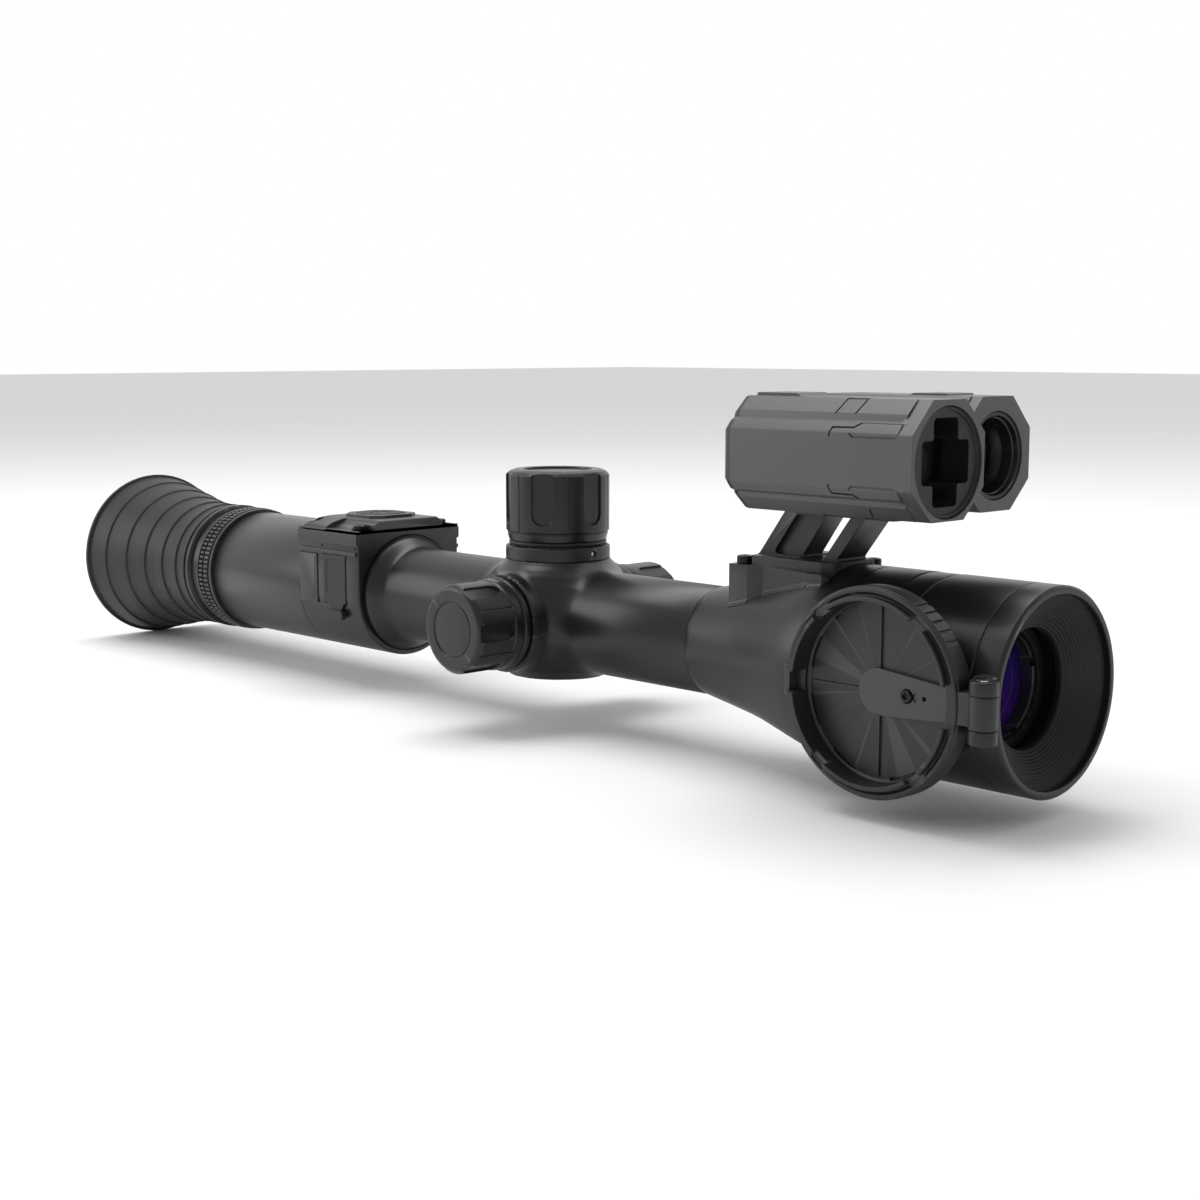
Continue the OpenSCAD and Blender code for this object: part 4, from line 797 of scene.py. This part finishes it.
def smooth_profile(pts, n=5):
    """Points along a smooth curve through (a, b) pairs."""
    out = []
    for i in range(len(pts) - 1):
        p0 = Vector(pts[max(i - 1, 0)])
        p1, p2 = Vector(pts[i]), Vector(pts[i + 1])
        p3 = Vector(pts[min(i + 2, len(pts) - 1)])
        for k in range(n):
            t = k / n
            q = 0.5 * (2 * p1 + (p2 - p0) * t + (2 * p0 - 5 * p1 + 4 * p2 - p3) * t**2 + (3 * p1 - p0 - 3 * p2 + p3) * t**3)
            out.append(tuple(q))
    out.append(pts[-1])
    return out


PEDESTAL = [(79.5, -12.2, 0.4), (86, -12.2, 0.5), (90.5, -11, 0.5), (106.8, -13.4, 0.3),
    (107.6, -14.3, 0.3),
            (112.4, -14.3, 0.4), (113.1, -13.6, 0.3), (115, 2, 1), (116, 11, 1), (114.8, 12.2, 1),
            (107, 12.2, 0.6), (103, 11, 0.6), (91, 11, 0.6), (85, 9, 1), (79.5, 2, 1)]


def bell():
    """Bell casting with its pedestal."""
    curve = smooth_profile([(66.5, 15.15), (73, 16.3), (79, 17.35), (85, 18.5), (90, 19.7), (96, 21.45),
        (102, 23.2), (107, 24.45), (112, 25.2), (116, BELL_R - 0.02)])
    x1 = 121.8
    pts = [(66.5, 13.9)] + [(66.5, 15.0, 0.1)] + [(a, r) for a,
        r in curve[1:]] + [(x1 - 0.25, BELL_R, 0.1), (x1, BELL_R - 0.25, 0.1), (x1, 23.0)]
    pts += [(112, 22.8), (96, 19), (80, 15), (70, 13.9)]
    skin = lathe("bell_skin", pts, seg=192)
    lug = prism("pedestal", PEDESTAL, "xy", 8, LUG_TOP)
    boolean(lug, [rod("cut", "x", 60, 130, 17.2, (0, 0, 0), 96)])
    dress(skin, ANODISED, "sight", ["bell"], angle=30)
    dress(lug, GREY, "sight", [], bevel=0.2)
    foot = []
    for y0, y1, a, b in ((-11.0, -13.4, 90.5, 106.8), (-12.2, -12.2, 79.5, 86.0),
        (-14.3, -14.3, 107.6, 112.4)):
        n = 14
        rows = []
        for k in range(n + 1):
            x = a + (b - a) * k / n
            y = y0 + (y1 - y0) * k / n
            rr = float(np.interp(x, [p[0] for p in curve], [p[1] for p in curve]))
            z = math.sqrt(max(rr**2 - y**2, 1))
            rows.append([(x, y + 0.5, z - 0.5), (x, y + 0.1, z + 1.0), (x, y - 0.1, z + 0.3),
                (x, y - 0.3, z + 0.02), (x, y - 0.7, z - 0.4), (x, y + 0.2, z - 1.2)])
        foot.append(loft("fillet", rows))
    dress(joined("pedestal_fillets", foot), ANODISED, "sight", [], angle=60)


def barrel():
    """Front barrel with a seam, then the slotted collar."""
    x0, x1 = 121.82, BARREL_HI[0]
    r = BELL_R
    lock0, lock1, ring0 = LOCK_LO[0] - 0.3, LOCK_HI[0] + 0.3, HINGE_LO[0] - 0.02
    o = lathe(
        "front_barrel_skin",
        [(117.9, 21), (117.9, 22.9), (x0, 22.9), (x0, r - 0.25, 0.1), (x0 + 0.25, r, 0.1),
        (lock0 - 0.2, r, 0.1), (lock0, r - 0.2), (lock0, r - 2.2), (lock1, r - 2.2),
         (lock1, r - 0.2, 0.1), (lock1 + 0.2, r, 0.1), (ring0 - 0.25, r, 0.1), (ring0, r - 0.25, 0.05),
        (ring0, r - 1.6), (x1, r - 1.6), (x1, 22.6), (162, 22.6), (162, 21)],
        seg=192)
    dress(o, ANODISED, "sight", ["front_barrel"], angle=30)
    a, b = LOCK_LO[0], LOCK_HI[0]
    collar = lathe("slotted_collar", [(a, r - 2.2), (a, r - 0.4, 0.1), (a + 0.3, r - 0.1, 0.15),
        (b - 0.3, r - 0.1, 0.15), (b, r - 0.4, 0.1), (b, r - 2.2)], seg=192)
    cuts = []
    for start in (0, math.pi):
        for k in range(12):
            t = start + math.radians(-24 + 8 * k)
            cuts.append(turned(block("cut", (a + 1.2, -r - 1, -1.2), (b - 1.2, -r + 1.0, 1.2), 0.3), t,
                "X"))
    boolean(collar, cuts)
    dress(collar, ANODISED, "sight", ["lock_ring"], bevel=0.12)


def hinge_ring():
    """Front ring with two lugs and knuckles."""
    x0, x1, r = HINGE_LO[0], 171.9, BELL_R
    lip = 23.3
    ring = lathe(
        "front_ring",
        [(x0, r - 1.55), (x0, r - 0.25, 0.1), (x0 + 0.25, r, 0.1), (x1 - 0.6, r, 0.3),
        (x1 - 0.1, r - 0.5, 0.25), (x1, r - 0.9, 0.15), (x1, lip + 0.2, 0.1), (x1 - 0.2, lip, 0.1),
         (x0 + 4.1, lip), (x0 + 4.1, r - 1.55)],
        seg=192)
    dress(ring, ANODISED, "sight", ["hinge_ring"], angle=30)
    lugs = []
    for s in (1, -1):
        z0, z1 = 3.92 * s, 7.2 * s
        arm = prism("arm", [(167.6, -24.6, 0), (171.4, -24.0, 0), (172.6, -28.4, 0.5), (172.6, -31.4, 0.3),
            (169.6, -31.4, 1.2), (167.6, -28, 1.2)], "xy", min(z0, z1), max(z0, z1))
        lugs.append(arm)
        lugs.append(lathe("k", [(z0, 0.92), (z0, 3.3, 0.2), (z1, 3.3, 0.35), (z1, 1.9, 0.1),
            (z1 - 0.3 * s, 1.7, 0.1), (z1 - 0.3 * s, 0.92)], "z", (PIN_X, PIN_Y, 0), 64))
    dress(joined("hinge_lugs", lugs), ANODISED, "sight", [], bevel=0.2)
    pin = lathe("pin", [(PIN_LO[2], 0), (PIN_LO[2], 0.85, 0.2), (PIN_HI[2], 0.85, 0.2), (PIN_HI[2], 0)],
        "z", (PIN_X, PIN_Y, 0), 32, closed=False)
    dress(pin, STEEL, "sight", ["hinge_pin"])


def mouth():
    """Ridged cone: a staircase of rounded rings down to the bore."""
    ridges = 12
    x_out, x_in = 169.6, 163.6
    r_out, r_in = 23.0, 14.5
    pts = [(x_out + 0.4, 23.28), (x_out + 0.38, r_out, 0.1)]
    for k in range(ridges):
        x = x_out - (x_out - x_in) * k / ridges
        r = r_out - (r_out - r_in) * k / ridges
        pts += [(x - 0.02, r - 0.05, 0.05), (x + 0.16, r - 0.36, 0.1), (x - 0.42, r - 0.62, 0.1)]
    pts += [(x_in - 0.1, r_in, 0.2), (162.05, r_in, 0.1), (162.05, 22.5), (168.6, 22.5), (168.6, 23.28)]
    dress(lathe("ridged_cone", pts, seg=192, steps=3), INNER, "sight", ["baffle_cone"],
        angle=50)


# ---- flip cap -------------------------------------------------------------

SCREW_Y, PEG_Y = -8.3, -13.2


def opened(o):
    """From the shut place to the rest place, folded back beside the bell."""
    return turned(o, -1.5 * math.pi, "Z", (PIN_X, PIN_Y, 0))


def flip_cap():
    x0 = 172.1
    depth, floor, r = 6.6, 1.5, 25.2
    lip = 23.3
    body = lathe(
        "cap_shell",
        [(x0 + depth, 0), (x0 + depth, r - 0.9, 0.6), (x0 + depth - 0.8, r, 0.5), (x0 + 0.9, r, 0.2),
        (x0 + 0.75, r - 0.3, 0.1), (x0 + 0.2, r - 0.35, 0.1), (x0, r - 0.6, 0.15),
         (x0, r - 1.35, 0.15), (x0 + 0.6, lip - 0.1, 0.1), (x0 + 0.55, lip - 0.45, 0.1),
        (x0 - 1.3, lip - 0.45, 0.15), (x0 - 1.3, lip - 1.5, 0.15),
         (x0 + depth - floor - 0.6, lip - 1.6, 0.5), (x0 + depth - floor, lip - 2.2, 0.3),
        (x0 + depth - floor, 0)],
        seg=192, closed=False)
    cuts = []
    # breaks in the snap lip
    for a in (38, 142, 218, 322):
        cuts.append(turned(block("cut", (x0 - 2, -2.2, 20.6), (x0 + 0.5, 2.2, 24)), math.radians(a), "X"))
    # arc slots in the floor, beside the wall
    for a in (20, 60, 110, 160, 205, 250, 300, 340):
        arc = []
        n = 10
        for rr, order in ((21.2, 1), (20.5, -1)):
            for k in range(n + 1)[::order]:
                t = math.radians(a - 11 + 22 * k / n)
                arc.append((rr * math.cos(t), rr * math.sin(t)))
        cuts.append(prism("cut", arc, "yz", x0 + depth - floor - 1, x0 + depth - floor + 0.7))
    cuts.append(block("cut", (x0 - 2, -24, -5), (x0 + 0.6, -10, 5)))
    cuts.append(block("cut", (x0 - 2, 14, -2.6), (x0 + 3.6, 30, 2.6)))
    # grip cuts on the rim
    for k in range(5):
        cuts.append(turned(block("cut", (x0 + 1.2, -0.55, r - 0.5), (x0 + depth + 1, 0.55, r + 2)),
            math.radians(30 + k * 6.5), "X"))
    cuts.append(rod("cut", "x", x0 + depth - 3, x0 + depth + 1, 0.85, (0, SCREW_Y, 0), 24))
    boolean(body, cuts)
    opened(body)
    dress(body, PLASTIC, "flip", ["flip_cap"], bevel=0.1, angle=30)
    inner = x0 + depth - floor
    ribs = []
    for a, lo in ((0, 5.2), (180, 5.2), (270, 3)):
        ribs.append(turned(block("rib", (inner - 0.55, -0.22, lo), (inner + 0.3, 0.22, 20.3)),
            math.radians(a), "X"))
    arm = prism("arm", [(PIN_X, -31.5, 0), (PIN_X + 2.6, -29.6, 1.5), (x0 + depth - 0.6, -24.2, 0.5),
        (x0 + 0.4, -23.8, 0), (PIN_X - 0.3, -28.3, 1)], "xy", -3.75, 3.75)
    knuckle = lathe("k", [(-3.8, 0.95), (-3.8, 3.3, 0.25), (3.8, 3.3, 0.25), (3.8, 0.95)], "z",
        (PIN_X, PIN_Y, 0), 64)
    thumb = prism("thumb", [(x0 + 1.2, 24.6, 0), (x0 + depth - 1, 24.6, 0), (x0 + depth - 1, 26.45, 0.5),
        (x0 + 1.2, 26.45, 0.5)], "xy", -3.9, 3.9)
    detail = joined("cap_details", ribs + [arm, knuckle, thumb])
    opened(detail)
    dress(detail, PLASTIC, "flip", [], bevel=0.12)
    outline = [(0, 5.6, 2.5), (-21.3, 3.3, 0.4), (-21.3, -3.9, 0.4), (-20.0, -4.6, 0.3), (-2, -5.6, 1.5)]
    for k in range(1, 12):
        t = -math.pi / 2 + math.pi * k / 12
        outline.append((5.6 * math.cos(t), 5.6 * math.sin(t)))
    tongue = prism("cap_tongue_skin", outline, "yz", inner - 1.12, inner - 0.02)
    holes = [rod("cut", "x", inner - 3, inner - 0.5, 1.75, (0, SCREW_Y, 0), 32),
        rod("cut", "x", inner - 3, inner + 1, 0.95, (0, SCREW_Y, 0), 24),
             rod("cut", "x", inner - 3, inner + 1, 0.6, (0, PEG_Y, 0), 24)]
    waist = lathe("cut", [(inner - 3, 0), (inner - 3, 1.2), (inner - 0.8, 1.2), (inner - 0.8, 0)], "x",
        (0, (SCREW_Y + PEG_Y) / 2, 0), 4, closed=False)
    boolean(tongue, holes + [waist])
    opened(tongue)
    dress(tongue, PLASTIC, "flip", ["cap_tongue"], bevel=0.12)
    screw = hex_socket("s", (inner - 0.74, SCREW_Y, 0), 1.6, 0.9, "x", -1)
    opened(screw)
    screw.name = "cap_screw_head"
    dress(screw, BLACK_STEEL, "flip", ["cap_screw"])


# ---- bracket --------------------------------------------------------------

FLANGE_TOP, PLATE_TOP = 23.6, 26.2
LRF_BOTTOM = BRACKET_HI[2] + 0.02
MID_Y = (RX_Y + TX_Y) / 2
BOLTS = ((82.8, -9.4), (110.4, 9.2))


def bracket():
    """Flange, raised plate and two raked legs, the rear one with a sunk panel."""
    flange = prism("flange", PEDESTAL, "xy", LUG_TOP + 0.02, FLANGE_TOP)
    plate = prism(
        "plate",
        [(86, -10.6, 0.5), (109.8, -11.4, 1), (112.8, -10, 1), (113.4, -7.5, 1), (113.6, 5.8, 0.6),
        (106.9, 6.2, 0.6),
         (106.9, 10.6, 0.6), (87, 10.6, 1), (85.4, 9, 1), (85.4, -6, 1)],
        "xy", FLANGE_TOP - 0.1, PLATE_TOP)
    rise = LRF_BOTTOM - 1 - PLATE_TOP
    near, far = -6.8, 4.7
    legs = []
    for x0, x1, lean0, lean1 in ((85.3, 98.5, 0.74, 0.7), (106.7, 110.8, 0.76, 0.77)):
        legs.append(prism(
            "leg",
            [(x0 - 1.0, PLATE_TOP - 0.4, 0), (x0 + 0.3, PLATE_TOP + 0.4, 1.2),
            (x0 + lean0 * rise, PLATE_TOP + rise, 0), (x1 + lean1 * rise, PLATE_TOP + rise, 0),
             (x1 + 0.4, PLATE_TOP + 0.5, 0.8), (x1 + 1.2, PLATE_TOP - 0.4, 0)],
            "xz", near, far))
    head = block("head", (94, MID_Y - 6.5, LRF_BOTTOM - 2.2), (128, MID_Y + 6.5, LRF_BOTTOM - 0.02), 1)
    cuts = []
    for lo, hi in ((near - 1, near + 1.5), (far - 2.2, far + 1)):
        cuts.append(prism("cut", [(90, PLATE_TOP + 0.4, 1.2), (102, PLATE_TOP + 0.4),
            (110, LRF_BOTTOM - 2.2), (98, LRF_BOTTOM - 2.2, 0.6)], "xz", lo, hi))
    for x, y in BOLTS:
        cuts.append(rod("cut", "z", FLANGE_TOP, 30, 2.9, (x, y, 0), 40))
    o = boolean(flange, [plate, *legs, head], "UNION")
    saddle = lathe("cut", [(60, 0), (60, 15.2), (66.5, 15.25), (79, 17.45), (90, 19.8), (96, 21.55),
        (102, 23.35), (107, 24.65), (112, BELL_R + 0.03), (130, BELL_R + 0.03), (130, 0)], seg=144,
        closed=False)
    boolean(o, [*cuts, saddle])
    dress(o, GREY, "sight", ["bracket"], bevel=0.14, angle=28)
    heads = [hex_socket("s", (x, y, FLANGE_TOP + 0.02), 2.15, 2.2) for x, y in BOLTS]
    heads += [hex_socket("s", (x, MID_Y, LRF_BOTTOM - 1.02), 2.15, 1.15, "z", -1) for x in (109.4, 125)]
    dress(joined("bracket_screws", heads), BLACK_STEEL, "sight", ["mount_bolts"])


# ---- rangefinder ----------------------------------------------------------

UP, DOWN, HALF = 14.6, 13.7, 14.2


def flank_outline(y):
    """Section of one barrel with the raised band along both flanks, about its axis."""
    half = [(-6.8, UP, 0.4), (-10.4, 11.2, 0.3), (-10.9, 9.5, 0.3), (-12.4, 8.9, 0.3), (-HALF, 6.8, 0.5),
        (-HALF, -6.4, 0.5), (-12.6, -8.5, 0.3),
            (-10.9, -9.1, 0.3), (-10.4, -10.4, 0.3), (-6.8, -DOWN, 0.4)]
    pts = half + [(-a, b, r) for a, b, r in reversed(half)]
    return [(a + y, b + BARREL_Z, r) for a, b, r in pts]


def eight(y):
    pts = [(-6.4, UP, 0.5), (-HALF, 6.6, 0.5), (-HALF, -6.2, 0.5), (-6.4, -DOWN, 0.5), (6.4, -DOWN, 0.5),
        (HALF, -6.2, 0.5), (HALF, 6.6, 0.5), (6.4, UP, 0.5)]
    return [(a + y, b + BARREL_Z, r) for a, b, r in pts]


def rangefinder():
    x0 = LRF_LO[0]
    rx1, tx1 = LRF_HI[0], BEZEL_HI[0] + 0.4
    near = prism("near", flank_outline(RX_Y), "yz", x0, rx1 - 4.2)
    far = prism("far", flank_outline(TX_Y), "yz", x0, tx1 - 3.2)
    near_front = prism("near_front", eight(RX_Y), "yz", rx1 - 5, rx1)
    far_front = prism("far_front", eight(TX_Y), "yz", tx1 - 4, tx1)
    web = block("web", (x0, MID_Y - 6, BARREL_Z - 11), (tx1 - 3, MID_Y + 6, BARREL_Z + 11))
    keel = block("keel", (96, MID_Y - 5, LRF_BOTTOM), (127, MID_Y + 5, BARREL_Z - 10))
    top = BARREL_Z + UP
    pad = prism("pad", [(x0 + 1, top - 0.4), (x0 + 1.6, top + 0.8, 0.4), (108.5, top + 0.8, 0.6),
        (111, top - 0.4)], "xz", RX_Y - 5.6, RX_Y + 5.6)
    rib = prism("rib", [(119.5, top - 0.4), (121, top + 0.5, 0.3), (131, top + 0.5, 0.3),
        (132, top - 0.4)], "xz", TX_Y - 5.6, TX_Y + 5.6)
    o = boolean(near, [far, near_front, far_front, web, keel, pad, rib], "UNION")
    cuts = [rod("cut", "x", rx1 - 14, rx1 + 1, 13.25, (0, RX_Y, BARREL_Z), 128),
        rod("cut", "x", tx1 - 13, tx1 + 1, 11.0, (0, TX_Y, BARREL_Z), 128)]
    cuts += [rod("cut", "x", x0 - 1, rx1 - 13, 11.6, (0, RX_Y, BARREL_Z), 64),
        rod("cut", "x", x0 - 1, tx1 - 12, 10.6, (0, TX_Y, BARREL_Z), 64)]
    near_y = RX_Y - HALF
    # relief lines along the flank near the front, and the small notches that end them
    for s, z in ((1, 7.6), (-1, -7.4)):
        z0 = BARREL_Z + z
        cuts.append(prism("cut", [(125.5, z0 - 1.9 * s), (125.9, z0 - 1.9 * s), (126.4, z0 + 0.1 * s),
            (132.5, z0 + 0.2 * s), (134.3, z0 + 1.3 * s), (147, z0 + 1.3 * s),
                                  (147, z0 + 1.65 * s), (134.1, z0 + 1.65 * s), (132.3, z0 + 0.55 * s),
            (126.0, z0 + 0.45 * s)], "xz", near_y - 2, near_y + 2.4))
        z2 = BARREL_Z + s * 5.6
        cuts.append(prism("cut", [(131.6, z2 + 1.0 * s), (132.6, z2), (144.6, z2), (145.6, z2 + 0.55 * s),
            (132.9, z2 + 0.4 * s), (132.1, z2 + 1.1 * s)], "xz", near_y - 2, near_y + 0.35))
    for x in (124.5, 130.5):
        cuts.append(prism("cut", [(x, top - 3.6), (x + 0.4, top - 3.6), (x + 1.8, top + 1),
            (x + 1.4, top + 1)], "xz", RX_Y - 12, RX_Y - 5.5))
    cuts.append(prism("cut", [(126, top - 0.35), (131.5, top - 0.35), (131.9, top + 2), (125.6, top + 2)],
        "xz", RX_Y - 7.6, RX_Y - 5.6))
    cuts.append(prism("cut", [(133, BARREL_Z - DOWN - 1), (133.5, BARREL_Z - DOWN - 1),
        (135, BARREL_Z - DOWN + 2.6), (134.5, BARREL_Z - DOWN + 2.6)], "xz", RX_Y - 12, RX_Y - 6))
    boolean(o, cuts)
    dress(o, GREY, "sight", ["lrf_body"], bevel=0.16, angle=26)
    # rear cover, its rear edges drawn in
    xr, xf = REAR_LO[0], REAR_HI[0]
    parts = []
    for y in (RX_Y, TX_Y):
        pts = rounded(flank_outline(y))
        rings = []
        for x, g in ((xr, 0.86), (xr + 0.5, 0.92), (xr + 1.8, 0.985), (xf, 1.0)):
            rings.append([(x, y + (a - y) * g, BARREL_Z + (b - BARREL_Z) * g) for a, b in pts])
        parts.append(loft("rear", rings))
    web = block("web", (xr, MID_Y - 6, BARREL_Z - 10.5), (xf, MID_Y + 6, BARREL_Z + 10.5))
    cover_piece = boolean(parts[0], [parts[1], web], "UNION")
    cuts = [rod("cut", "x", xr - 1, xr + 1.64, 2.2, (0, MID_Y + a * 4.6, BARREL_Z + b * 8),
        32) for a in (-1, 1) for b in (-1, 1)]
    boolean(cover_piece, cuts)
    dress(cover_piece, GREY, "sight", ["lrf_rear_cover"], bevel=0.2, angle=26)


def cross_outline(a, b, c, r):
    """Rounded cross: arms a half wide, reaching b up and down and c to each side."""
    return [(-a, b, r), (a, b, r), (a, c * 0.56, 0.8), (c, c * 0.56, r), (c, -c * 0.56, r),
        (a, -c * 0.56, 0.8), (a, -b, r), (-a, -b, r),
            (-a, -c * 0.56, 0.8), (-c, -c * 0.56, r), (-c, c * 0.56, r), (-a, c * 0.56, 0.8)]


def receiver():
    x1 = MASK_HI[0]
    mask = lathe("mask", [(MASK_LO[0], 11.3), (MASK_LO[0], 13.2), (x1 - 0.2, 13.2, 0.2), (x1, 12.9, 0.1),
        (x1, 12.3, 0.1), (x1 - 0.5, 12.1, 0.1), (x1 - 0.5, 0), (MASK_LO[0] + 4, 0), (MASK_LO[0] + 4, 11.3)],
                 "x", (0, RX_Y, BARREL_Z), 128)
    hole = prism("cut", [(a + RX_Y, b + BARREL_Z, r) for a, b, r in cross_outline(4.8, 10.4, 9.2, 1.4)],
        "yz", x1 - 20, x1 + 3, 6)
    boolean(mask, [hole])
    dress(mask, INNER, "sight", ["rx_mask"], bevel=0.15, angle=28)
    x = MASK_LO[0] + 0.1
    glass = lathe("receiver_lens", [(x, 0), (x, 11.2), (x + 0.6, 11.2), (x + 1.6, 9), (x + 2.6, 6),
        (x + 3.2, 3), (x + 3.4, 0)], "x", (0, RX_Y, BARREL_Z), 96, closed=False)
    dress(glass, DEEP_LENS, "sight", ["rx_lens"])


def emitter():
    x1 = BEZEL_HI[0]
    o = lathe("emitter_bezel", [(BEZEL_LO[0], 9.4), (BEZEL_LO[0], 10.95), (x1 - 0.2, 10.95, 0.2),
        (x1, 10.7, 0.1), (x1, 9.95, 0.15), (x1 - 1.2, 9.6, 0.3), (x1 - 1.4, 9.3, 0.1), (x1 - 4.0, 8.6, 0.3),
                               (x1 - 6, 8.6, 0.2), (x1 - 6, 9.4)], "x", (0, TX_Y, BARREL_Z), 128)
    dress(o, TURNED, "sight", ["tx_bezel"], angle=30)
    x = BEZEL_LO[0] + 1.6
    arc = [(x + 4.2 - 2.8 * (k / 8) ** 2, 9.2 * k / 8) for k in range(8, -1, -1)]
    glass = lathe("emitter_lens", [(x, 0), (x, 9.3), (x + 1.3, 9.3)] + arc, "x", (0, TX_Y, BARREL_Z), 96,
        closed=False)
    dress(glass, MIRROR_LENS, "sight", ["tx_lens"])


# ---- glass and inner works ------------------------------------------------


def objective():
    lo, hi = span_of("objective_lens")
    arc = [(hi[0] - 2.0 * (k / 10) ** 2, 13.3 * k / 10) for k in range(10, -1, -1)]
    o = lathe("front_lens", [(lo[0], 0), (lo[0] + 0.6, 8), (lo[0] + 1, 13.35)] + arc, seg=128, closed=False)
    dress(o, OBJECTIVE, "carriage", ["objective_lens"], angle=60)
    a, b = span_of("lens_retainer")
    ring = lathe("retaining_ring", [(a[0], 12.1, 0.1), (a[0], 13.4), (b[0], 13.4, 0.2), (b[0], 12.4, 0.15),
        (b[0] - 0.4, 12.1, 0.1)], seg=128)
    cuts = [turned(block("cut", (b[0] - 1.2, -1.1, 10), (b[0] + 1, 1.1, 15)), math.radians(t),
        "X") for t in (20, 110, 200, 290)]
    boolean(ring, cuts)
    dress(ring, TURNED, "carriage", ["lens_retainer"], bevel=0.1)


LOOKS = {
    "black_rubber": RUBBER, "black_anodised": ANODISED, "dark_grey_anodised": GREY, "inner_black": INNER,
    "lens_glass": CLEAR,
    "coated_lens": OBJECTIVE, "black_plastic": PLASTIC, "board_green": BOARD, "chip_glass": CHIP,
    "plated_steel": STEEL,
    "black_steel": BLACK_STEEL, "bare_aluminium": STEEL, "cell_blue": SLEEVE, "brass": BRASS,
    "rack_steel": STEEL, "amber_film": FILM,
}


def inner_works():
    """Every CAD node that still shows takes its slot's material."""
    slots = {s["node"]: s["material_slot"] for s in frame["record"]["subparts"]}
    for node, o in frame["nodes"].items():
        o.data.materials.clear()
        o.data.materials.append(LOOKS[slots[node]])


# ---- studio ---------------------------------------------------------------


def plain(name, colour, rough):
    mat = bpy.data.materials.new(name)
    mat.use_nodes = True
    p = mat.node_tree.nodes["Principled BSDF"]
    p.inputs["Base Color"].default_value = (*colour, 1)
    p.inputs["Roughness"].default_value = rough
    return mat


def softbox(name, place, aim, size, power):
    data = bpy.data.lights.new(name, "AREA")
    data.shape = "RECTANGLE"
    data.size, data.size_y = size
    data.energy = power
    o = bpy.data.objects.new(name, data)
    o.location = place
    o.rotation_euler = (Vector(aim) - Vector(place)).to_track_quat("-Z", "Y").to_euler()
    bpy.context.scene.collection.objects.link(o)


def studio():
    floor_z = cad_box[0][2]
    bpy.ops.mesh.primitive_plane_add(size=12, location=(0, 0, floor_z))
    floor = bpy.context.object
    floor.name = "floor"
    floor.data.materials.append(plain("floor_paper", (0.9, 0.9, 0.9), 0.7))
    world = bpy.data.worlds.new("studio_sky")
    world.use_nodes = True
    nt = world.node_tree
    sky = nt.nodes["Background"]
    co = nt.nodes.new("ShaderNodeTexCoord")
    toward = nt.nodes.new("ShaderNodeVectorMath")
    toward.operation = "DOT_PRODUCT"
    toward.inputs[1].default_value = (-0.7141, 0.6862, 0)
    nt.links.new(co.outputs["Generated"], toward.inputs[0])
    fade = nt.nodes.new("ShaderNodeMapRange")
    fade.inputs["From Min"].default_value = -0.2
    fade.inputs["From Max"].default_value = 0.5
    fade.inputs["To Min"].default_value = 0.5
    fade.inputs["To Max"].default_value = 1.0
    nt.links.new(toward.outputs["Value"], fade.inputs["Value"])
    nt.links.new(fade.outputs[0], sky.inputs["Strength"])
    sky.inputs["Color"].default_value = (1, 1, 1, 1)
    bpy.context.scene.world = world
    bpy.context.scene.view_settings.view_transform = "Standard"
    softbox("overhead", (-0.3, 0.1, 1.1), (0, 0, 0), (1.2, 0.5), 9)
    softbox("left", (-0.9, -0.8, 0.5), (-0.05, 0, 0), (0.5, 0.8), 4)


LENS_MM, SENSOR_MM = 54.9, 36
VIEW_FROM = (0.4, -0.36697, 0.08053)        # metres
VIEW_ALONG = (-0.7141, 0.6862, -0.1385)


def camera():
    data = bpy.data.cameras.new("camera")
    data.lens = LENS_MM
    data.sensor_width = SENSOR_MM
    data.clip_start = 0.01
    o = bpy.data.objects.new("camera", data)
    o.location = VIEW_FROM
    o.rotation_euler = Vector(VIEW_ALONG).to_track_quat("-Z", "Y").to_euler()
    bpy.context.scene.collection.objects.link(o)
    bpy.context.scene.camera = o


# ---- everything -----------------------------------------------------------

inner_works()
eyecup()
clamp_ring()
diopter()
housing()
connector_door()
cover()
housing_screws()
buttons()
tube()
base_ring()
turret()
knob("near_knob", "menu", "menu_knob", -1)
knob("far_knob", "focus", "focus_knob", 1)
bell()
barrel()
hinge_ring()
mouth()
flip_cap()
bracket()
rangefinder()
receiver()
emitter()
objective()
studio()
camera()
